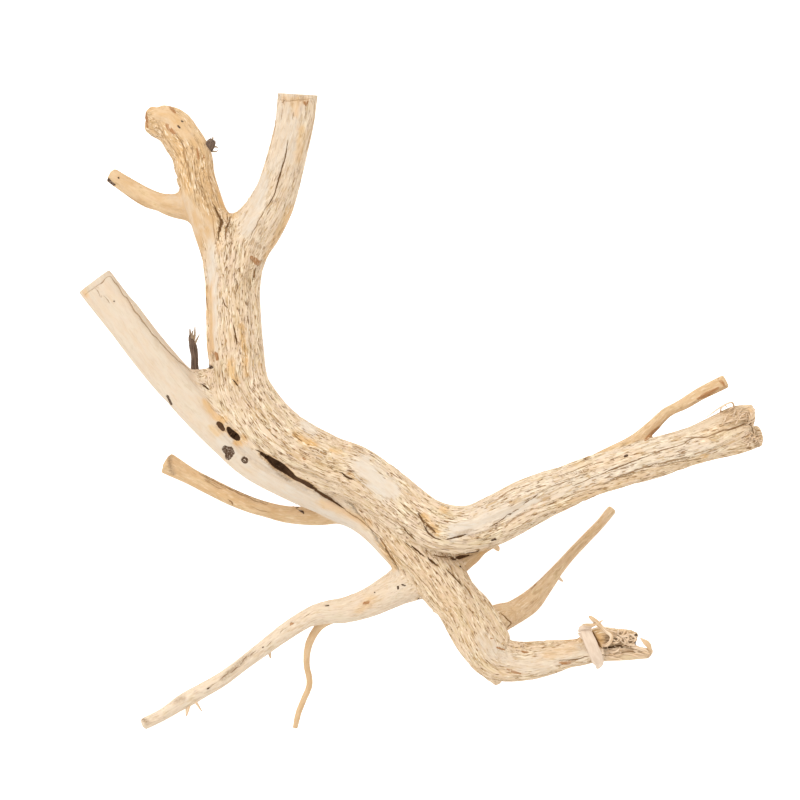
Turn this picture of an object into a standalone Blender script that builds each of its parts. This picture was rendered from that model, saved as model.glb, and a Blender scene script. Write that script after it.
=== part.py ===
# Piece of bare, weathered driftwood, lying on three low points.
# +Z is up, +X runs to the long limb's broken end, and the floor is z = 0. Metres throughout.
# The origin is on the floor, below the middle of the piece.

import itertools
import math

import bmesh
import bpy
import numpy as np
from mathutils import Vector

# How finely the wood is worked
ROUTE_STEP = 0.0015
VOXEL = 0.0014
FITTED_VOXEL = 0.0012
SKIN = 0.0004
FITTING_ROUNDS = 2
PROBE = 0.0002
TRIANGLE_TARGET = 9600
TUBE_SIDES_LEVEL = 4
POINTS_AT_ONCE = 20000
SHARP_ANGLE = 50.0

# How limbs meet, and how their ends are rounded over
BLEND = 0.006
CLOSE_BLEND = 0.0025
END_ROUNDING = 0.0012
REACH = 0.014

# Relief along the grain: slow swellings, long flutes and the drying furrows between them
SWELLING_SIZE = 0.030
SWELLING_SHARE = 0.085
SWELLING_STRETCH = 0.6
FLUTE_WIDTH = 0.0075
FLUTE_LENGTH = 0.055
FLUTE_HEIGHT = 0.0013
FURROW_WIDTH = 0.0085
FURROW_LENGTH = 0.075
FURROW_DEPTH = 0.0020
FURROW_SHARPNESS = 0.16
SLIM_LIMB = 0.011
SLIM_RELIEF = 0.25
SPIRAL = 7.0
NOISE_SEED = 11

# Hollows are taller than they are wide
HOLLOW_STRETCH = 2.6
HOLLOW_LIP = 0.0006

# The saw cuts stand a little inside the ends of the two limbs
SAW_BLOCK = 0.044
RIGHT_ARM_CUT = Vector((-0.0780, 0.2055, 0.0820))
RIGHT_ARM_CUT_AXIS = Vector((0.06, 0.97, 0.22)).normalized()
LEFT_LIMB_CUT = Vector((-0.2080, 0.0875, 0.0797))
LEFT_LIMB_CUT_AXIS = Vector((-0.60, 0.79, 0.10)).normalized()
FLOOR_BLOCK = (0.60, 0.60, 0.04)

WOOD_COLOUR = (0.80, 0.63, 0.43, 1.0)
WOOD_ROUGHNESS = 0.78

# Each limb is a route of points, as x, y, z and the radius there
LIMBS = {
    "trunk": [
        (-0.119, 0.131, 0.058, 0.0110), (-0.1195, 0.116, 0.060, 0.0165),
        (-0.120, 0.104, 0.061, 0.0188), (-0.1215, 0.083, 0.062, 0.0178),
        (-0.120, 0.062, 0.064, 0.0180), (-0.118, 0.043, 0.066, 0.0185), (-0.112, 0.016, 0.068, 0.0181),
        (-0.0905, -0.011, 0.070, 0.0178), (-0.062, -0.027, 0.072, 0.0177),
        (-0.040, -0.035, 0.074, 0.0174), (-0.020, -0.048, 0.076, 0.0167),
        (-0.003, -0.061, 0.079, 0.0160), (0.014, -0.070, 0.081, 0.0157), (0.033, -0.071, 0.083, 0.0153),
        (0.052, -0.063, 0.086, 0.0157), (0.070, -0.0535, 0.089, 0.0159), (0.089, -0.0455, 0.091, 0.0153),
        (0.113, -0.036, 0.094, 0.0137), (0.139, -0.028, 0.095, 0.0126), (0.163, -0.021, 0.096, 0.0115),
        (0.185, -0.014, 0.096, 0.0098), (0.207, -0.005, 0.096, 0.0072),
    ],
    "upper lobe": [
        (0.145, -0.025, 0.095, 0.0076), (0.171, -0.011, 0.098, 0.0056), (0.186, -0.004, 0.099, 0.0062),
        (0.199, 0.002, 0.100, 0.0069), (0.210, 0.005, 0.100, 0.0064),
    ],
    "lower lobe": [
        (0.140, -0.030, 0.093, 0.0089), (0.171, -0.021, 0.093, 0.0087), (0.200, -0.014, 0.092, 0.0089),
        (0.217, -0.011, 0.091, 0.0064),
    ],
    "lower trunk": [
        (-0.046, -0.038, 0.068, 0.0080), (-0.022, -0.060, 0.063, 0.0143),
        (-0.004, -0.082, 0.061, 0.0158), (0.010, -0.099, 0.059, 0.0172), (0.020, -0.113, 0.057, 0.0178),
        (0.031, -0.127, 0.055, 0.0178), (0.041, -0.144, 0.052, 0.0173), (0.051, -0.157, 0.050, 0.0151),
        (0.066, -0.160, 0.050, 0.0129), (0.086, -0.157, 0.052, 0.0119), (0.105, -0.153, 0.055, 0.0101),
        (0.121, -0.150, 0.057, 0.0081),
    ],
    "stub strand": [
        (0.102, -0.156, 0.054, 0.0059), (0.118, -0.155, 0.056, 0.0046), (0.134, -0.155, 0.058, 0.0040),
        (0.151, -0.155, 0.058, 0.0034),
    ],
    "stub bundle": [
        (0.109, -0.150, 0.057, 0.0059), (0.121, -0.146, 0.059, 0.0060), (0.139, -0.1445, 0.060, 0.0052),
    ],
    "elbow spur": [
        (0.044, -0.160, 0.047, 0.0080), (0.050, -0.171, 0.044, 0.0050), (0.053, -0.176, 0.043, 0.0028),
    ],
    "left limb": [
        (-0.214, 0.095, 0.080, 0.0118), (-0.191, 0.066, 0.078, 0.0122), (-0.176, 0.046, 0.076, 0.0122),
        (-0.160, 0.026, 0.073, 0.0125), (-0.143, 0.007, 0.070, 0.0126), (-0.125, -0.012, 0.068, 0.0121),
        (-0.106, -0.029, 0.066, 0.0118), (-0.081, -0.043, 0.063, 0.0116),
        (-0.056, -0.055, 0.058, 0.0108), (-0.034, -0.067, 0.057, 0.0095),
        (-0.012, -0.086, 0.056, 0.0104), (0.004, -0.105, 0.056, 0.0090),
    ],
    "web": [
        (-0.149, 0.027, 0.066, 0.0040), (-0.138, 0.021, 0.066, 0.0105), (-0.125, 0.004, 0.067, 0.0125),
        (-0.108, -0.012, 0.067, 0.0125),
        (-0.090, -0.026, 0.066, 0.0120), (-0.068, -0.038, 0.065, 0.0118), (-0.045, -0.047, 0.066, 0.0080),
    ],
    "right arm": [
        (-0.116, 0.098, 0.061, 0.0115), (-0.107, 0.119, 0.063, 0.0157), (-0.0975, 0.136, 0.067, 0.0149),
        (-0.090, 0.152, 0.071, 0.0135), (-0.084, 0.172, 0.076, 0.0129), (-0.080, 0.191, 0.080, 0.0125),
        (-0.078, 0.212, 0.083, 0.0125),
    ],
    "left arm": [
        (-0.125, 0.096, 0.060, 0.0120), (-0.131, 0.115, 0.058, 0.0138), (-0.1395, 0.137, 0.054, 0.0136),
        (-0.1455, 0.156, 0.048, 0.0130),
        (-0.150, 0.172, 0.040, 0.0130), (-0.159, 0.185, 0.029, 0.0128), (-0.166, 0.194, 0.0195, 0.0127),
        (-0.177, 0.200, 0.0065, 0.0116),
    ],
    "side twig": [
        (-0.138, 0.138, 0.052, 0.0100), (-0.153, 0.139, 0.046, 0.0094), (-0.168, 0.141, 0.043, 0.0073),
        (-0.180, 0.146, 0.039, 0.0066), (-0.193, 0.154, 0.034, 0.0060), (-0.2045, 0.1615, 0.030, 0.0055),
    ],
    "left leg": [
        (0.011, -0.102, 0.056, 0.0100), (-0.004, -0.106, 0.051, 0.0136), (-0.017, -0.113, 0.047, 0.0118),
        (-0.032, -0.121, 0.044, 0.0102), (-0.048, -0.1265, 0.041, 0.0089),
        (-0.064, -0.129, 0.038, 0.0078), (-0.077, -0.1355, 0.034, 0.0064),
        (-0.091, -0.145, 0.028, 0.0055), (-0.105, -0.156, 0.023, 0.0050),
        (-0.119, -0.167, 0.018, 0.0047), (-0.132, -0.177, 0.014, 0.0049),
        (-0.146, -0.1855, 0.011, 0.0050), (-0.161, -0.1945, 0.008, 0.0055),
        (-0.174, -0.2030, 0.005, 0.0044), (-0.187, -0.2095, 0.003, 0.0042),
    ],
    "thin root": [
        (-0.046, -0.127, 0.039, 0.0036), (-0.055, -0.133, 0.032, 0.0033),
        (-0.066, -0.140, 0.027, 0.0028), (-0.073, -0.152, 0.022, 0.0026),
        (-0.075, -0.166, 0.017, 0.0024), (-0.0732, -0.180, 0.013, 0.0024),
        (-0.0775, -0.192, 0.009, 0.0024), (-0.081, -0.201, 0.007, 0.0023),
        (-0.0835, -0.212, 0.005, 0.0020),
    ],
    "lower left twig": [
        (-0.046, -0.061, 0.055, 0.0065), (-0.066, -0.064, 0.044, 0.0070),
        (-0.087, -0.064, 0.038, 0.0061), (-0.106, -0.060, 0.034, 0.0060),
        (-0.123, -0.054, 0.030, 0.0061), (-0.140, -0.046, 0.026, 0.0059),
        (-0.153, -0.0395, 0.022, 0.0060), (-0.169, -0.031, 0.018, 0.0080),
    ],
    "rear root": [
        (0.038, -0.137, 0.050, 0.0100), (0.053, -0.134, 0.035, 0.0098), (0.064, -0.1305, 0.027, 0.0077),
        (0.075, -0.124, 0.023, 0.0069), (0.084, -0.115, 0.019, 0.0056), (0.092, -0.106, 0.015, 0.0048),
        (0.103, -0.094, 0.011, 0.0037), (0.114, -0.083, 0.007, 0.0033), (0.125, -0.072, 0.004, 0.0032),
        (0.133, -0.0625, 0.002, 0.0035),
    ],
    "rear branch": [
        (0.014, -0.106, 0.054, 0.0080), (0.028, -0.094, 0.048, 0.0080), (0.043, -0.082, 0.050, 0.0074),
        (0.066, -0.062, 0.060, 0.0074), (0.091, -0.043, 0.070, 0.0070), (0.116, -0.028, 0.078, 0.0066),
        (0.137, -0.0165, 0.083, 0.0059), (0.149, -0.0055, 0.086, 0.0047), (0.158, 0.0035, 0.089, 0.0043),
        (0.168, 0.0090, 0.092, 0.0045), (0.179, 0.0160, 0.096, 0.0046), (0.1935, 0.0235, 0.100, 0.0046),
    ],
    "dark twig": [
        (-0.140, 0.008, 0.062, 0.0032), (-0.146, 0.029, 0.053, 0.0026), (-0.147, 0.041, 0.049, 0.0024),
        (-0.149, 0.052, 0.048, 0.0021),
    ],
}

# These lie against a thicker neighbour, and keep a crease between them and it
CLOSE_LIMBS = {"upper lobe", "lower lobe", "stub strand", "stub bundle", "rear branch"}

# Dark openings in the upper side: a long drying crack and two rotted-out knots
HOLLOWS = {
    "long crack": [
        (-0.105, -0.021, 0.078, 0.0010), (-0.097, -0.026, 0.077, 0.0020),
        (-0.089, -0.032, 0.075, 0.0028), (-0.082, -0.038, 0.074, 0.0030),
        (-0.073, -0.044, 0.074, 0.0028), (-0.065, -0.050, 0.0735, 0.0022),
        (-0.056, -0.055, 0.0735, 0.0016), (-0.047, -0.059, 0.0735, 0.0011),
    ],
    "upper knot hole": [
        (-0.130, -0.002, 0.079, 0.0016), (-0.1275, -0.005, 0.078, 0.0022), (-0.125, -0.009, 0.078, 0.0016),
    ],
    "lower knot hole": [
        (-0.122, -0.006, 0.078, 0.0018), (-0.119, -0.010, 0.077, 0.0027),
        (-0.116, -0.014, 0.077, 0.0025), (-0.113, -0.017, 0.077, 0.0014),
    ],
}

# Torn strips, as x, y, z and the half width there. Each starts inside the wood it is torn from.
SPLINTER_THICKNESS = 0.0011
LEAST_HALF_THICKNESS = 0.0003
UPRIGHT = 0.2
SPLINTERS = {
    "bark strap": [
        (0.108, -0.136, 0.063, 0.0023), (0.107, -0.140, 0.0645, 0.0028), (0.109, -0.145, 0.0650, 0.0030),
        (0.112, -0.151, 0.0645, 0.0030), (0.115, -0.157, 0.061, 0.0029), (0.118, -0.163, 0.054, 0.0021),
    ],
    "curled sliver": [
        (0.122, -0.150, 0.060, 0.0016), (0.123, -0.140, 0.068, 0.0016), (0.118, -0.135, 0.072, 0.0015),
        (0.113, -0.130, 0.074, 0.0014), (0.109, -0.127, 0.075, 0.0010),
    ],
    "crossing sliver": [
        (0.121, -0.143, 0.064, 0.0011), (0.118, -0.136, 0.071, 0.0014), (0.111, -0.131, 0.0735, 0.0013),
        (0.105, -0.132, 0.073, 0.0004),
    ],
    "upright fibre": [
        (0.124, -0.148, 0.060, 0.0012), (0.128, -0.140, 0.066, 0.0009), (0.129, -0.135, 0.069, 0.0004),
    ],
    "hooked fibre": [
        (0.119, -0.147, 0.060, 0.0012), (0.126, -0.138, 0.067, 0.0009), (0.121, -0.134, 0.069, 0.0004),
    ],
    "end sliver": [
        (0.134, -0.153, 0.059, 0.0016), (0.145, -0.149, 0.063, 0.0016), (0.151, -0.148, 0.065, 0.0010),
        (0.145, -0.142, 0.067, 0.0004),
    ],
    "lobe sliver": [
        (0.195, 0.002, 0.103, 0.0012), (0.187, 0.005, 0.107, 0.0010), (0.181, 0.003, 0.108, 0.0004),
    ],
    "lobe hair": [
        (0.194, 0.001, 0.104, 0.0009), (0.190, 0.008, 0.108, 0.0010), (0.196, 0.014, 0.110, 0.0005),
    ],
    "limb spur": [
        (0.063, -0.071, 0.080, 0.0022), (0.052, -0.080, 0.076, 0.0016), (0.046, -0.083, 0.075, 0.0005),
    ],
    "leg spur": [
        (-0.103, -0.149, 0.025, 0.0022), (-0.100, -0.157, 0.022, 0.0014), (-0.099, -0.162, 0.021, 0.0005),
    ],
    "low spur": [
        (-0.155, -0.188, 0.011, 0.0022), (-0.156, -0.197, 0.009, 0.0015), (-0.157, -0.203, 0.008, 0.0005),
    ],
    "low hair": [
        (-0.154, -0.187, 0.011, 0.0012), (-0.150, -0.193, 0.012, 0.0009), (-0.146, -0.199, 0.013, 0.0004),
    ],
    "root spur": [
        (0.088, -0.107, 0.016, 0.0020), (0.094, -0.108, 0.015, 0.0014), (0.098, -0.111, 0.014, 0.0005),
    ],
    "arm spur": [
        (-0.144, 0.171, 0.042, 0.0034), (-0.138, 0.178, 0.043, 0.0026), (-0.136, 0.181, 0.044, 0.0016),
    ],
    "arm splinter": [
        (-0.139, 0.176, 0.043, 0.0010), (-0.136, 0.182, 0.045, 0.0009), (-0.135, 0.185, 0.046, 0.0004),
    ],
    "twig splinter left": [
        (-0.1495, 0.050, 0.048, 0.0010), (-0.149, 0.055, 0.049, 0.0008), (-0.148, 0.058, 0.050, 0.0004),
    ],
    "twig splinter right": [
        (-0.148, 0.050, 0.048, 0.0010), (-0.147, 0.055, 0.050, 0.0008), (-0.145, 0.059, 0.051, 0.0004),
    ],
}

# Short torn fibres are scattered over the two broken ends: centre, spread, direction, count, length
FIBRE_SEED = 5
TORN_ENDS = [
    {"centre": (0.131, -0.146, 0.061), "spread": (0.009, 0.003, 0.003), "along": (1.0, 0.05, 0.10),
     "count": 16, "length": 0.009},
    {"centre": (0.202, 0.004, 0.099), "spread": (0.004, 0.003, 0.003), "along": (0.9, 0.40, 0.15),
     "count": 9, "length": 0.007},
    {"centre": (0.212, -0.011, 0.091), "spread": (0.002, 0.004, 0.003), "along": (1.0, 0.20, 0.05),
     "count": 9, "length": 0.006},
]
FIBRE_HALF_WIDTH = (0.0006, 0.0011)
FIBRE_FAN = 0.35
FIBRE_LENGTH_RANGE = (0.7, 1.3)
FIBRE_ROOT = 0.4
FIBRE_KNEE = 0.55
FIBRE_KNEE_WIDTH = 0.9
FIBRE_TIP_WIDTH = 0.35


def clear_scene():
    for item in list(bpy.data.objects):
        bpy.data.objects.remove(item, do_unlink=True)


# Value noise on a lattice, from -1 to 1, at an array of points
def noise(points, seed):
    cells = np.floor(points).astype(np.int64)
    local = points - cells
    fade = local * local * (3.0 - 2.0 * local)
    total = np.zeros(len(points))
    for corner in itertools.product((0, 1), repeat=3):
        x, y, z = (cells + corner).T
        mixed = (x * 73856093) ^ (y * 19349663) ^ (z * 83492791) ^ (seed * 2654435)
        mixed = (mixed ^ (mixed >> 13)) * 1274126177
        value = ((mixed ^ (mixed >> 16)) & 0xFFFF) / 32767.5 - 1.0
        weight = np.prod(np.where(corner, fade, 1.0 - fade), axis=1)
        total += weight * value
    return total


# A smooth curve through a limb's points, sampled evenly
def smooth_route(stations):
    points = np.array(stations)
    before = np.vstack([2 * points[0] - points[1], points, 2 * points[-1] - points[-2]])
    samples = []
    for i in range(len(points) - 1):
        a, b, c, d = before[i:i + 4]
        steps = max(2, round(float(np.linalg.norm(c[:3] - b[:3])) / ROUTE_STEP))
        for t in np.arange(steps) / steps:
            curve = 2 * b + (c - a) * t + (2 * a - 5 * b + 4 * c - d) * t ** 2
            samples.append(0.5 * (curve + (3 * b - a - 3 * c + d) * t ** 3))
    samples.append(points[-1])
    return np.array(samples)


# A limb's samples with the grain's direction, the two directions across it and the length so far
def limb_frame(name, stations, number):
    samples = smooth_route(stations)
    centre = samples[:, :3]
    along = np.gradient(centre, axis=0)
    along /= np.linalg.norm(along, axis=1)[:, None]
    over = np.array((0.0, 0.0, 1.0)) - along[:, 2:3] * along
    over /= np.linalg.norm(over, axis=1)[:, None]
    steps = np.linalg.norm(np.diff(centre, axis=0), axis=1)
    return {
        "name": name,
        "centre": centre,
        "radius": samples[:, 3],
        "along": along,
        "over": over,
        "side": np.cross(along, over),
        "length": np.concatenate([[0.0], np.cumsum(steps)]),
        "seed": NOISE_SEED + 10 * number,
    }


def smooth_maximum(a, b, width):
    overlap = np.clip(width - np.abs(a - b), 0.0, None) / width
    return np.maximum(a, b) + overlap * overlap * width / 4


def smooth_minimum(a, b, width):
    return -smooth_maximum(-a, -b, width)


# Height of the wood's relief at places given by the offset from the centre and the length along it
def relief(across, up, length, radius, seed):
    turn = SPIRAL * length
    u = across * np.cos(turn) - up * np.sin(turn)
    v = across * np.sin(turn) + up * np.cos(turn)
    strength = np.clip(radius / SLIM_LIMB, SLIM_RELIEF, 1.0)
    swelling = noise(np.stack([u, v, length * SWELLING_STRETCH], axis=1) / SWELLING_SIZE, seed)
    flute_place = np.stack([u / FLUTE_WIDTH, v / FLUTE_WIDTH, length / FLUTE_LENGTH], axis=1)
    flutes = noise(flute_place, seed + 1)
    furrow_place = np.stack([u / FURROW_WIDTH, v / FURROW_WIDTH, length / FURROW_LENGTH], axis=1)
    furrows = np.exp(-(noise(furrow_place, seed + 2) / FURROW_SHARPNESS) ** 2)
    fine = FLUTE_HEIGHT * flutes - FURROW_DEPTH * furrows
    return SWELLING_SHARE * radius * swelling + strength * fine


# Signed distance from points to one limb, or to a hollow when its height is stretched
def limb_distance(points, limb, relieved=True, stretch=1.0):
    scale = np.array((1.0, 1.0, 1.0 / stretch))
    centre = limb["centre"] * scale
    result = np.full(len(points), 1.0)
    places = points * scale
    margin = limb["radius"].max() + REACH
    low = centre.min(axis=0) - margin
    high = centre.max(axis=0) + margin
    inside = np.nonzero(np.all((places > low) & (places < high), axis=1))[0]
    for chosen in np.array_split(inside, len(inside) // POINTS_AT_ONCE + 1):
        if len(chosen) == 0:
            continue
        place = places[chosen]
        square = (place ** 2).sum(1)[:, None] - 2 * place @ centre.T + (centre ** 2).sum(1)[None, :]
        nearest = square.argmin(axis=1)
        offset = place - centre[nearest]
        ahead = (offset * limb["along"][nearest]).sum(1)
        up = (offset * limb["over"][nearest]).sum(1)
        across = (offset * limb["side"][nearest]).sum(1)
        radius = limb["radius"][nearest]
        away = np.hypot(up, across) - radius
        if relieved:
            length = limb["length"][nearest] + ahead
            shrink = np.clip(radius / np.maximum(np.hypot(up, across), radius / 4), 0.0, 1.0)
            away -= relief(across * shrink, up * shrink, length, radius, limb["seed"])
        last = len(centre) - 1
        past = np.where(nearest == last, ahead, np.where(nearest == 0, -ahead, -1.0))
        result[chosen] = smooth_maximum(away, past, END_ROUNDING)
    return result


# Signed distance to the whole surface: limbs flow together, and hollows are taken away
def wood_distance(points, limbs, hollows):
    total = np.full(len(points), 1.0)
    for limb in limbs:
        width = CLOSE_BLEND if limb["name"] in CLOSE_LIMBS else BLEND
        total = smooth_minimum(total, limb_distance(points, limb), width)
    for hollow in hollows:
        gap = limb_distance(points, hollow, relieved=False, stretch=HOLLOW_STRETCH)
        total = smooth_maximum(total, -gap, HOLLOW_LIP)
    return total


# A closed tube along a limb
def tube(limb, grow, stretch=1.0):
    curve = bpy.data.curves.new(limb["name"], "CURVE")
    curve.dimensions = "3D"
    curve.bevel_depth = 1.0
    curve.bevel_resolution = TUBE_SIDES_LEVEL
    curve.use_fill_caps = True
    spline = curve.splines.new("POLY")
    spline.points.add(len(limb["centre"]) - 1)
    for point, place, radius in zip(spline.points, limb["centre"], limb["radius"]):
        point.co = (place[0], place[1], place[2] / stretch, 1.0)
        point.radius = radius + grow
    draft = bpy.data.objects.new(limb["name"], curve)
    bpy.context.collection.objects.link(draft)
    bpy.context.view_layer.update()
    mesh = bpy.data.meshes.new_from_object(draft.evaluated_get(bpy.context.evaluated_depsgraph_get()))
    bpy.data.objects.remove(draft, do_unlink=True)
    bpy.data.curves.remove(curve)
    for vertex in mesh.vertices:
        vertex.co.z *= stretch
    return place_mesh(limb["name"], mesh)


def place_mesh(name, mesh):
    item = bpy.data.objects.new(name, mesh)
    bpy.context.collection.objects.link(item)
    return item


def join(items, name):
    joined = bmesh.new()
    for item in items:
        joined.from_mesh(item.data)
        bpy.data.objects.remove(item, do_unlink=True)
    mesh = bpy.data.meshes.new(name)
    joined.to_mesh(mesh)
    joined.free()
    return place_mesh(name, mesh)


def apply_modifiers(item):
    bpy.context.view_layer.update()
    graph = bpy.context.evaluated_depsgraph_get()
    mesh = bpy.data.meshes.new_from_object(item.evaluated_get(graph))
    item.modifiers.clear()
    item.data = mesh


def remesh(item, voxel):
    modifier = item.modifiers.new("Remesh", "REMESH")
    modifier.mode = "VOXEL"
    modifier.voxel_size = voxel
    apply_modifiers(item)


# One Boolean of the item with every object in the list, which are then removed
def combine(item, others, operation, solver="EXACT"):
    group = bpy.data.collections.new("group")
    bpy.context.scene.collection.children.link(group)
    for other in others:
        group.objects.link(other)
    modifier = item.modifiers.new(operation, "BOOLEAN")
    modifier.operation = operation
    modifier.operand_type = "COLLECTION"
    modifier.collection = group
    modifier.solver = solver
    apply_modifiers(item)
    for other in others:
        bpy.data.objects.remove(other, do_unlink=True)
    bpy.data.collections.remove(group)


# Every vertex is moved onto the surface along the distance's own slope
def fit_to_surface(item, limbs, hollows):
    count = len(item.data.vertices)
    flat = np.empty(count * 3)
    item.data.vertices.foreach_get("co", flat)
    places = flat.reshape(count, 3)
    for _ in range(FITTING_ROUNDS):
        here = wood_distance(places, limbs, hollows)
        slope = np.empty((count, 3))
        for axis in range(3):
            probe = places.copy()
            probe[:, axis] += PROBE
            slope[:, axis] = (wood_distance(probe, limbs, hollows) - here) / PROBE
        steep = np.clip((slope ** 2).sum(1), 0.25, None)
        move = -(here / steep)[:, None] * slope
        size = np.linalg.norm(move, axis=1)
        move *= np.clip(VOXEL / np.maximum(size, 1e-9), None, 1.0)[:, None]
        places = places + move
    item.data.vertices.foreach_set("co", places.ravel())
    item.data.update()


def decimate(item, triangles):
    item.data.calc_loop_triangles()
    modifier = item.modifiers.new("Decimate", "DECIMATE")
    modifier.ratio = triangles / len(item.data.loop_triangles)
    modifier.use_collapse_triangulate = True
    apply_modifiers(item)


# A block whose one face lies at a place, square to an axis, with the block beyond it
def block_beyond(name, place, axis, size):
    mesh = bpy.data.meshes.new(name)
    shape = bmesh.new()
    bmesh.ops.create_cube(shape, size=1.0)
    bmesh.ops.translate(shape, verts=shape.verts, vec=(0.0, 0.0, 0.5))
    bmesh.ops.scale(shape, verts=shape.verts, vec=size)
    shape.to_mesh(mesh)
    shape.free()
    block = place_mesh(name, mesh)
    turn = axis.to_track_quat("Z", "Y").to_matrix().to_4x4()
    turn.translation = place
    mesh.transform(turn)
    return block


def saw_and_seat(wood):
    saw = (SAW_BLOCK, SAW_BLOCK, SAW_BLOCK)
    blocks = [
        block_beyond("right arm cut", RIGHT_ARM_CUT, RIGHT_ARM_CUT_AXIS, saw),
        block_beyond("left limb cut", LEFT_LIMB_CUT, LEFT_LIMB_CUT_AXIS, saw),
        block_beyond("floor", Vector((0.0, 0.0, 0.0)), Vector((0.0, 0.0, -1.0)), FLOOR_BLOCK),
    ]
    combine(wood, blocks, "DIFFERENCE")


# A strip with a flattened diamond section, which follows its stations and narrows with them
def strip(name, stations, thickness, facing=(0.0, 0.0, 1.0)):
    shape = bmesh.new()
    rows = []
    places = [Vector(station[:3]) for station in stations]
    for i, place in enumerate(places):
        along = (places[min(i + 1, len(places) - 1)] - places[max(i - 1, 0)]).normalized()
        side = along.cross(Vector(facing))
        if side.length < UPRIGHT:
            side = along.orthogonal()
        side.normalize()
        thick = side.cross(along) * max(LEAST_HALF_THICKNESS, thickness / 2)
        wide = side * max(LEAST_HALF_THICKNESS, stations[i][3])
        rows.append([shape.verts.new(place + corner) for corner in (wide, thick, -wide, -thick)])
    for row, following in zip(rows, rows[1:]):
        for j in range(4):
            k = (j + 1) % 4
            shape.faces.new((row[j], row[k], following[k], following[j]))
    shape.faces.new(rows[0][::-1])
    shape.faces.new(rows[-1])
    bmesh.ops.recalc_face_normals(shape, faces=shape.faces)
    mesh = bpy.data.meshes.new(name)
    shape.to_mesh(mesh)
    shape.free()
    return place_mesh(name, mesh)


def torn_fibres():
    draw = np.random.default_rng(FIBRE_SEED)
    strips = []
    for torn in TORN_ENDS:
        for number in range(torn["count"]):
            along = np.array(torn["along"]) + draw.normal(0.0, FIBRE_FAN, 3)
            along /= np.linalg.norm(along)
            tip_turn = draw.normal(0.0, FIBRE_FAN, 3)
            root = np.array(torn["centre"]) + draw.uniform(-1.0, 1.0, 3) * torn["spread"]
            length = torn["length"] * draw.uniform(*FIBRE_LENGTH_RANGE)
            half_width = draw.uniform(*FIBRE_HALF_WIDTH)
            start = root - along * length * FIBRE_ROOT
            knee = root + along * length * FIBRE_KNEE
            tip = knee + (along + tip_turn) * length * (1.0 - FIBRE_KNEE)
            stations = [
                (*start, half_width),
                (*knee, half_width * FIBRE_KNEE_WIDTH),
                (*tip, half_width * FIBRE_TIP_WIDTH),
            ]
            strips.append(strip(f"fibre {number}", stations, SPLINTER_THICKNESS))
    return strips


# Any crumb that the cutting leaves apart from the piece is dropped
def drop_crumbs(item):
    shape = bmesh.new()
    shape.from_mesh(item.data)
    bodies = []
    waiting = set(shape.verts)
    while waiting:
        body = {waiting.pop()}
        edge = list(body)
        while edge:
            reached = {link.other_vert(vertex) for vertex in edge for link in vertex.link_edges}
            edge = reached - body
            body |= edge
        waiting -= body
        bodies.append(body)
    bodies.sort(key=len)
    for crumb in bodies[:-1]:
        bmesh.ops.delete(shape, geom=list(crumb), context="VERTS")
    shape.to_mesh(item.data)
    shape.free()


def wood_material():
    material = bpy.data.materials.new("driftwood")
    material.use_nodes = True
    surface = material.node_tree.nodes["Principled BSDF"]
    surface.inputs["Base Color"].default_value = WOOD_COLOUR
    surface.inputs["Roughness"].default_value = WOOD_ROUGHNESS
    surface.inputs["Metallic"].default_value = 0.0
    return material


def main():
    clear_scene()
    limbs = [limb_frame(name, stations, i) for i, (name, stations) in enumerate(LIMBS.items())]
    hollows = [limb_frame(name, stations, i) for i, (name, stations) in enumerate(HOLLOWS.items())]

    wood = join([tube(limb, SKIN) for limb in limbs], "driftwood")
    remesh(wood, VOXEL)
    cutters = [tube(hollow, 0.0, HOLLOW_STRETCH) for hollow in hollows]
    combine(wood, cutters, "DIFFERENCE")
    remesh(wood, VOXEL)
    fit_to_surface(wood, limbs, hollows)
    remesh(wood, FITTED_VOXEL)
    decimate(wood, TRIANGLE_TARGET)
    saw_and_seat(wood)

    strips = [strip(name, stations, SPLINTER_THICKNESS) for name, stations in SPLINTERS.items()]
    strips += torn_fibres()
    combine(wood, strips, "UNION", "MANIFOLD")
    drop_crumbs(wood)

    wood.data.materials.clear()
    wood.data.materials.append(wood_material())
    wood.data.shade_smooth()
    wood.data.set_sharp_from_angle(angle=math.radians(SHARP_ANGLE))


main()
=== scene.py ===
# Bare, sun-bleached driftwood on a pale floor, seen from straight above in soft light
import itertools
import math

import bmesh
import bpy
import numpy as np
from mathutils import Matrix, Vector


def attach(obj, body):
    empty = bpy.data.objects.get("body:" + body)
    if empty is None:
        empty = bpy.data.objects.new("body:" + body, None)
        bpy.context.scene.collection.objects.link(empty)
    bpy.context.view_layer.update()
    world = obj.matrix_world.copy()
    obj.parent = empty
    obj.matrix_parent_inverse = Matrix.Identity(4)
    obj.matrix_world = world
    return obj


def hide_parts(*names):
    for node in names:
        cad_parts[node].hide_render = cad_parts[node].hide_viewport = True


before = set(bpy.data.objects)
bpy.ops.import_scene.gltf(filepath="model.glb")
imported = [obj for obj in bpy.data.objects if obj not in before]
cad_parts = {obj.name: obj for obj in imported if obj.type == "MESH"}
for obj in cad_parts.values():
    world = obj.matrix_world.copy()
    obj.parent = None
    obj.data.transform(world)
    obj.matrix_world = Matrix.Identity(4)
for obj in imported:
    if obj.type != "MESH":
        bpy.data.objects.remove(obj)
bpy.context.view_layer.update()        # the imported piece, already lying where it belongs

# The camera looks straight down. One pixel is 0.65 mm at the height of the reference plane
view = {
    "place": (-0.012, 0.0115, 1.290),
    "lens": 85.0,
    "sensor": 36.0,
    "planeHeight": 0.060,
    "pixel": 0.00065,
    "middle": 400.0,
}


def placeCamera():
    data = bpy.data.cameras.new("camera")
    data.lens = view["lens"]
    data.sensor_width = view["sensor"]
    data.clip_start = 0.01
    camera = bpy.data.objects.new("camera", data)
    camera.location = view["place"]
    bpy.context.scene.collection.objects.link(camera)
    bpy.context.scene.camera = camera


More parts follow.
